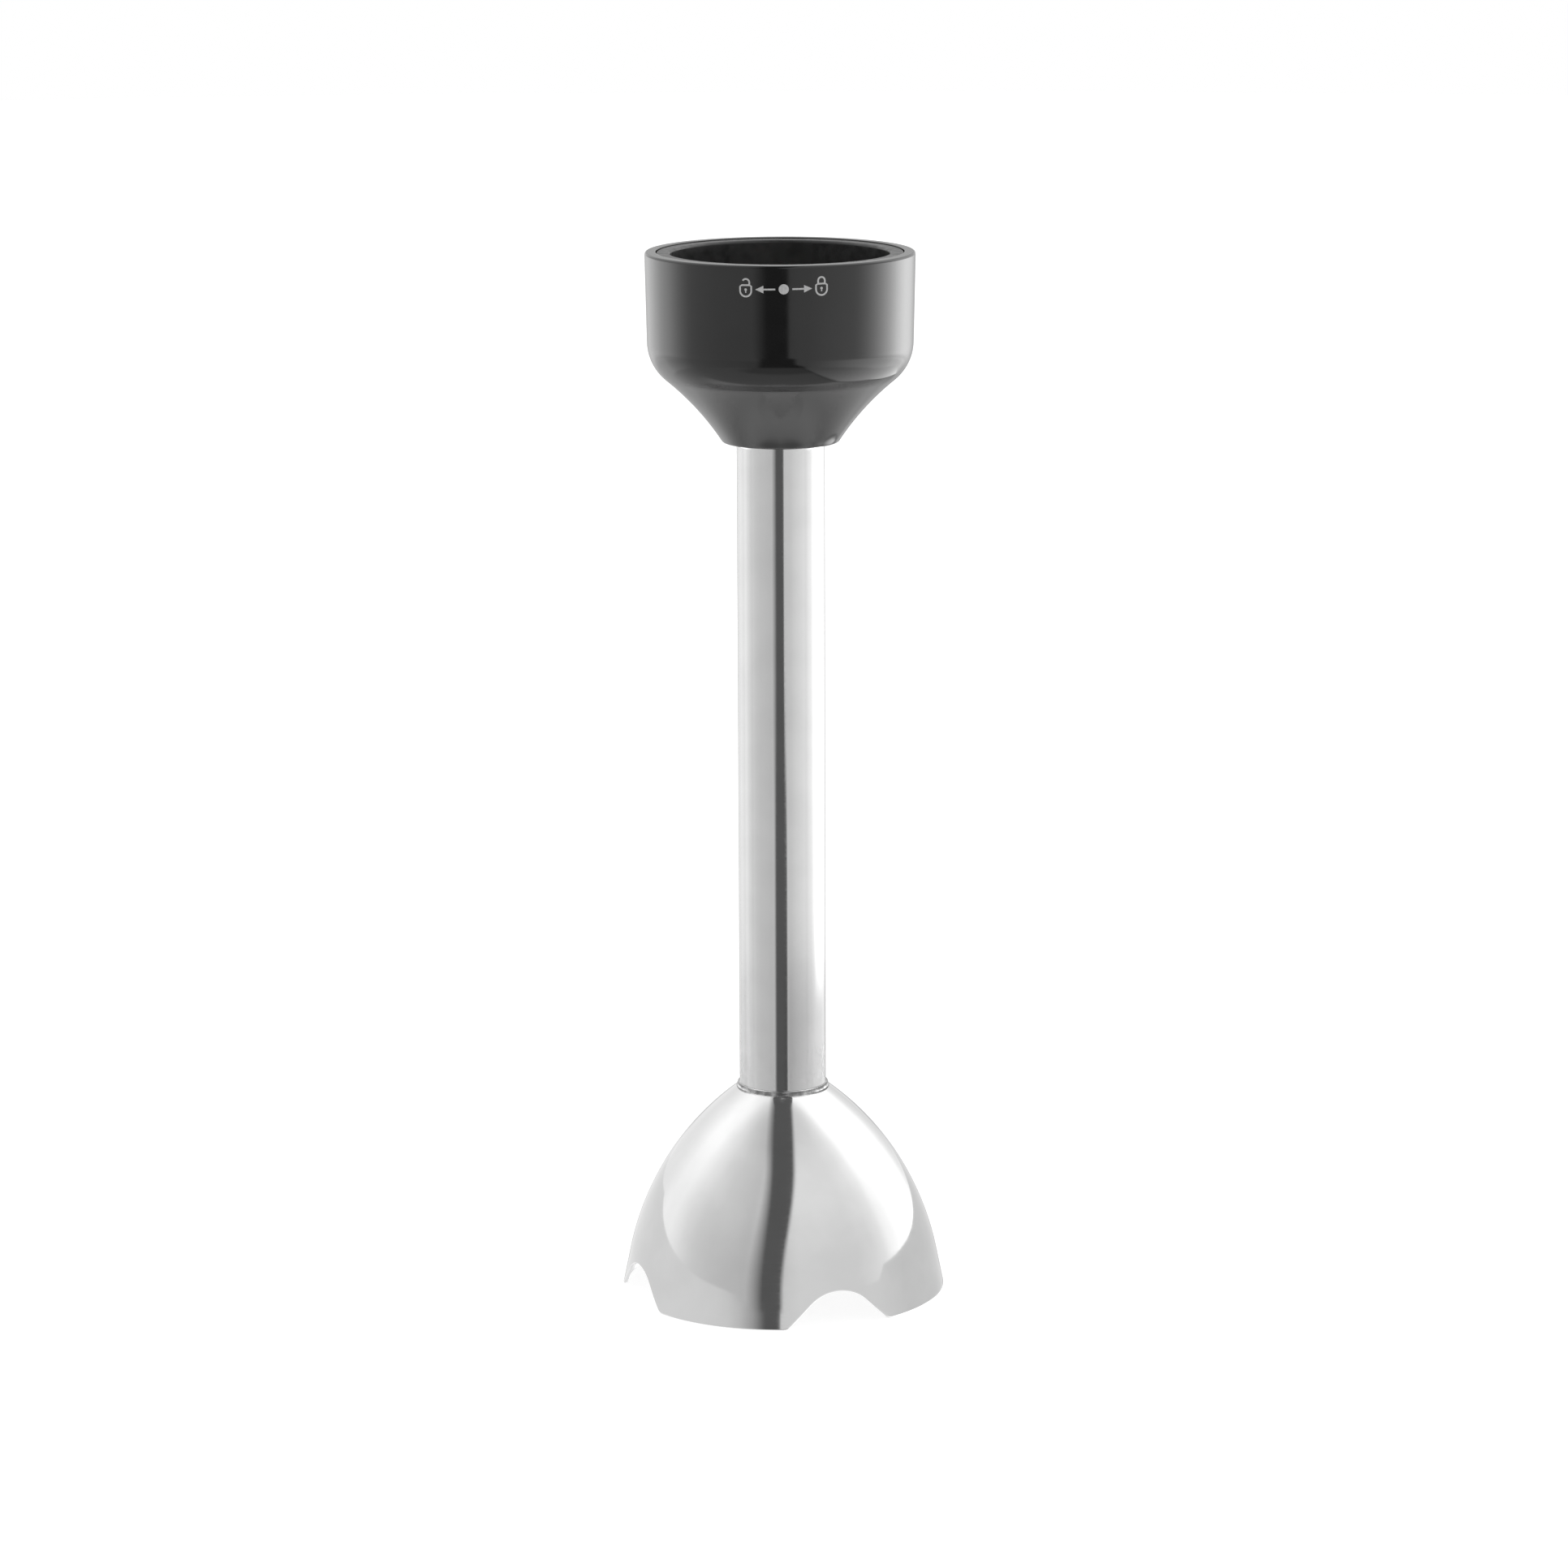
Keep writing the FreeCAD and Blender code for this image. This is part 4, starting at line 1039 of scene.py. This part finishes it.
def light_tent():
    """A pale tent that is brighter behind the object, with a dark gap on the camera's side."""
    tent = Surroundings()
    walls = tent.mix(tent.rising(0, -6), tent.ramp(tent.azimuth, HIGH_WALLS),
                     tent.ramp(tent.azimuth, LOW_WALLS))
    walls = tent.mix(tent.rising(-15.5, -18), walls, tent.ramp(tent.azimuth, UNDER_WALLS))
    walls = tent.multiply(walls, tent.add_up(tent.rising(12, 45, 1, 1.15),
                                             tent.rising(52, 74, 0, -0.17)))
    back_brightness = 0.64
    either_side = tent.compute("ABSOLUTE", tent.azimuth)
    back = tent.multiply(tent.step(either_side, radians(162), radians(176)),
                         tent.rising(1, 5), tent.rising(22, 9))
    walls = tent.mix(back, walls, back_brightness)
    walls = tent.add_up(walls, side_boxes(tent))
    walls = tent.mix(front_gap(tent), walls, DARK)
    raised = tent.turning(100, 140, 0, radians(8))
    below = tent.step(tent.less(tent.elevation, raised), radians(-31), radians(-33))
    studio = tent.mix(below, walls, plinth(tent))
    seen = tent.add("ShaderNodeLightPath").outputs["Is Camera Ray"]
    tent.link(tent.mix(seen, studio, 1.0), tent.background.inputs["Strength"])


def reflections_only(shape, finish, surface, reach, compare="GREATER_THAN"):
    """Make the shape a card that only reflections see, and only within reach millimetres, or
    from farther if asked."""
    finish.limit_reach(surface, reach, compare)
    card = finish_mesh(shape, finish.material.name)
    card.data.materials.append(finish.material)
    for rays in ("camera", "diffuse", "shadow", "transmission"):
        setattr(card, "visible_" + rays, False)


LOW_RING = {-180: 1.0, -90: 0.98, -43: 0.95, -35: 0.89, -27: 0.75, -19: 0.5, -13: 0.2,
            -11: 0.13, -3.4: 0.13, -2.6: 0.25, -1.5: 0.9, 30: 0.97, 60: 0.95, 90: 0.83,
            180: 0.86}


def low_ring():
    """A low curved card round the foot: the plinth's grey edge. Its reach is so short that
    little but the bell sees it."""
    radius, foot, reach = 122, -34, 116.8
    tops = [(-180, 20), (-150, 20), (-120, 36), (-94, 28), (-60, 18), (-20, 12), (66, 12),
            (72, 21), (150, 20), (180, 20)]
    low, high = [], []
    for degree in range(-180, 180, 2):
        for (start, first), (end, last) in zip(tops, tops[1:]):
            if start <= degree <= end:
                top = first + (last - first) * (degree - start) / (end - start)
        low.append(on_circle(FRONT + radians(degree), radius, foot))
        high.append(on_circle(FRONT + radians(degree), radius, top))
    shape = bmesh.new()
    add_loops(shape, [low, high], close_rows=False)
    finish = Finish("low_ring_card", grey(0.0), 1.0)
    brightness = finish.ramp(finish.turn_from_front(finish.place), LOW_RING)
    reflections_only(shape, finish, finish.glow(brightness), reach)


def far_card(name, radii, heights, nearest, low, high, start=-1, end=1):
    """A card round the tube, seen only from farther than nearest. Its brightness goes from low
    to high over the depths (y) start to end."""
    inner, outer = radii
    foot, top = heights
    shape = bmesh.new()
    revolve(shape, [(inner, foot), (outer, foot), (outer, top), (inner, top)], 96)
    finish = Finish(name, grey(0.0), 1.0)
    depth = finish.split(finish.place)[1]
    brightness = finish.step(depth, start * MM, end * MM, low, high)
    reflections_only(shape, finish, finish.glow(brightness), nearest, "LESS_THAN")


def collar_cards():
    """Painted reflections: the collar sees the bright steel below it as glowing cards, and the steel
    sees the tent's gap above it as a dim glowing card.
    """
    foot, head, sheet = LIP_TOP + 0.6, NECK_FOOT[1] - 2, 0.3
    far_card("bell_card", (9.6, 34), (foot, foot + sheet), 100, 1.68, 0.95, -20, 32)
    far_card("tube_card", (9.0, 9.2), (foot + 1, head), 12, 1.25, 1.05, -9, 9)
    far_card("neck_card", (9.6, 28), (head, head + sheet), 50, DARK, DARK)


# How much of its reflections the tube keeps, by azimuth on the sheet round it, high up and at its
# foot: painted shade.
TUBE_SHADE_HIGH = {-180: 1.0, -113: 1.0, -98: 0.78, -86: 0.57, -66: 0.52, -55: 0.67, -44: 1.0,
                  35: 1.0, 42: 0.8, 47: 0.61, 53: 0.55, 59: 0.72, 110: 0.9, 180: 1.0}
TUBE_SHADE_LOW = {-180: 0.9, -113: 0.9, -98: 0.78, -86: 0.53, -66: 0.47, -55: 0.64, -44: 0.94,
                 0: 0.96, 11: 0.7, 35: 0.7, 42: 0.59, 47: 0.46, 53: 0.37, 59: 0.31, 67: 0.27,
                 73: 0.28, 79: 0.34, 92: 0.56, 101: 0.7, 180: 0.9}
SHOULDER_SHADE = {-180: 1.0, -50: 1.0, -28: 0.72, -12: 0.48, 8: 0.48, 22: 0.75, 36: 1.0,
                 180: 1.0}
CLEAR = {-180: 1.0, 180: 1.0}


def shade_film(name, inner, outer, reach, high, low, start, end):
    """A thin sheet round the axis between two circles, each (radius, height), that reflections
    shorter than reach meet. It paints shade into them, dimming them by azimuth: by the stops in
    high above the height start, and by those in low beneath the height end."""
    columns = 128
    turns = [2 * pi * column / columns for column in range(columns)]
    shape = bmesh.new()
    add_loops(shape, [[on_circle(turn, *circle) for turn in turns] for circle in (inner, outer)],
              close_rows=False)
    finish = Finish(name, grey(0.0), 1.0)
    azimuth = finish.turn_from_front(finish.place)
    shades = finish.add("ShaderNodeMix", data_type="FLOAT")
    finish.link(finish.step(finish.split(finish.place)[2], end * MM, start * MM), shades.inputs[0])
    finish.link(finish.ramp(azimuth, low), shades.inputs[2])
    finish.link(finish.ramp(azimuth, high), shades.inputs[3])
    clear = finish.add("ShaderNodeBsdfTransparent")
    finish.link(shades.outputs[0], clear.inputs["Color"])
    reflections_only(shape, finish, clear.outputs[0], reach)


def shade_films():
    """Painted shade in the reflections of the tube and of the collar's shoulder, from clear sheets
    that dim them: the side lights are dimmer in the tube, above all at its foot, and the shoulder
    sees a dark edge."""
    shade_film("tube_shade_film", (9.75, LIP_TOP - 0.8), (9.75, NECK_FOOT[1] - 1.3), 5,
         TUBE_SHADE_HIGH, TUBE_SHADE_LOW, 81, 57)
    shade_film("shoulder_shade_film", (23.2, 187.0), (25.1, 187.6), 6, CLEAR, SHOULDER_SHADE, 187.6, 187.4)


def pale_floor():
    """A wide pale floor, lit through from below so that it stays light under the object.
    Reflections don't see it, except from inside the bell."""
    for name, radius, depth in (("floor", 3000, 0.0), ("floor_in_bell", 30, 0.4)):
        shape = bmesh.new()
        bmesh.ops.create_circle(shape, cap_ends=True, segments=96, radius=radius)
        bmesh.ops.translate(shape, verts=shape.verts, vec=(0, 0, -depth))
        floor = finish_mesh(shape, name)
        finish = Finish(name + "_paper", grey(0.3), 0.9)
        finish.colours(finish.noise(60, detail=3), grey(0.28), grey(0.32))
        fill(finish.shader, Emission_Color=(1, 1, 1, 1), Emission_Strength=0.8)
        floor.data.materials.append(finish.material)
        floor.visible_glossy = depth > 0
        floor.visible_camera = depth == 0
        if depth:
            finish.limit_reach(finish.shader.outputs[0], 100)


def camera():
    """The viewing angle: about 12 degrees down from just over a metre away."""
    data = bpy.data.cameras.new("camera")
    data.sensor_width = 36
    data.lens = 123.62
    data.clip_start = 0.01
    seen_from = Vector((0, -1.0655, 0.331))
    pitch, yaw, roll = radians(11.975), radians(0.024), radians(-0.188)
    forward = Vector((sin(yaw) * cos(pitch), cos(yaw) * cos(pitch), -sin(pitch)))
    level = Vector((cos(yaw), -sin(yaw), 0))
    upright = level.cross(forward)
    right = level * cos(roll) + upright * sin(roll)
    up = upright * cos(roll) - level * sin(roll)
    camera_object = bpy.data.objects.new("camera", data)
    bpy.context.scene.collection.objects.link(camera_object)
    turned = Matrix((right, up, -forward)).transposed().to_4x4()
    camera_object.matrix_world = Matrix.Translation(seen_from) @ turned
    bpy.context.scene.camera = camera_object


# ---- Build ----

paint_cad_nodes()
bell_guard()
shaft_tube()
collar_cover()
collar_liner()
collar_screws()
lock_marks()
float_spring()
light_tent()
low_ring()
collar_cards()
shade_films()
pale_floor()
camera()
bpy.context.scene.view_settings.view_transform = "Standard"
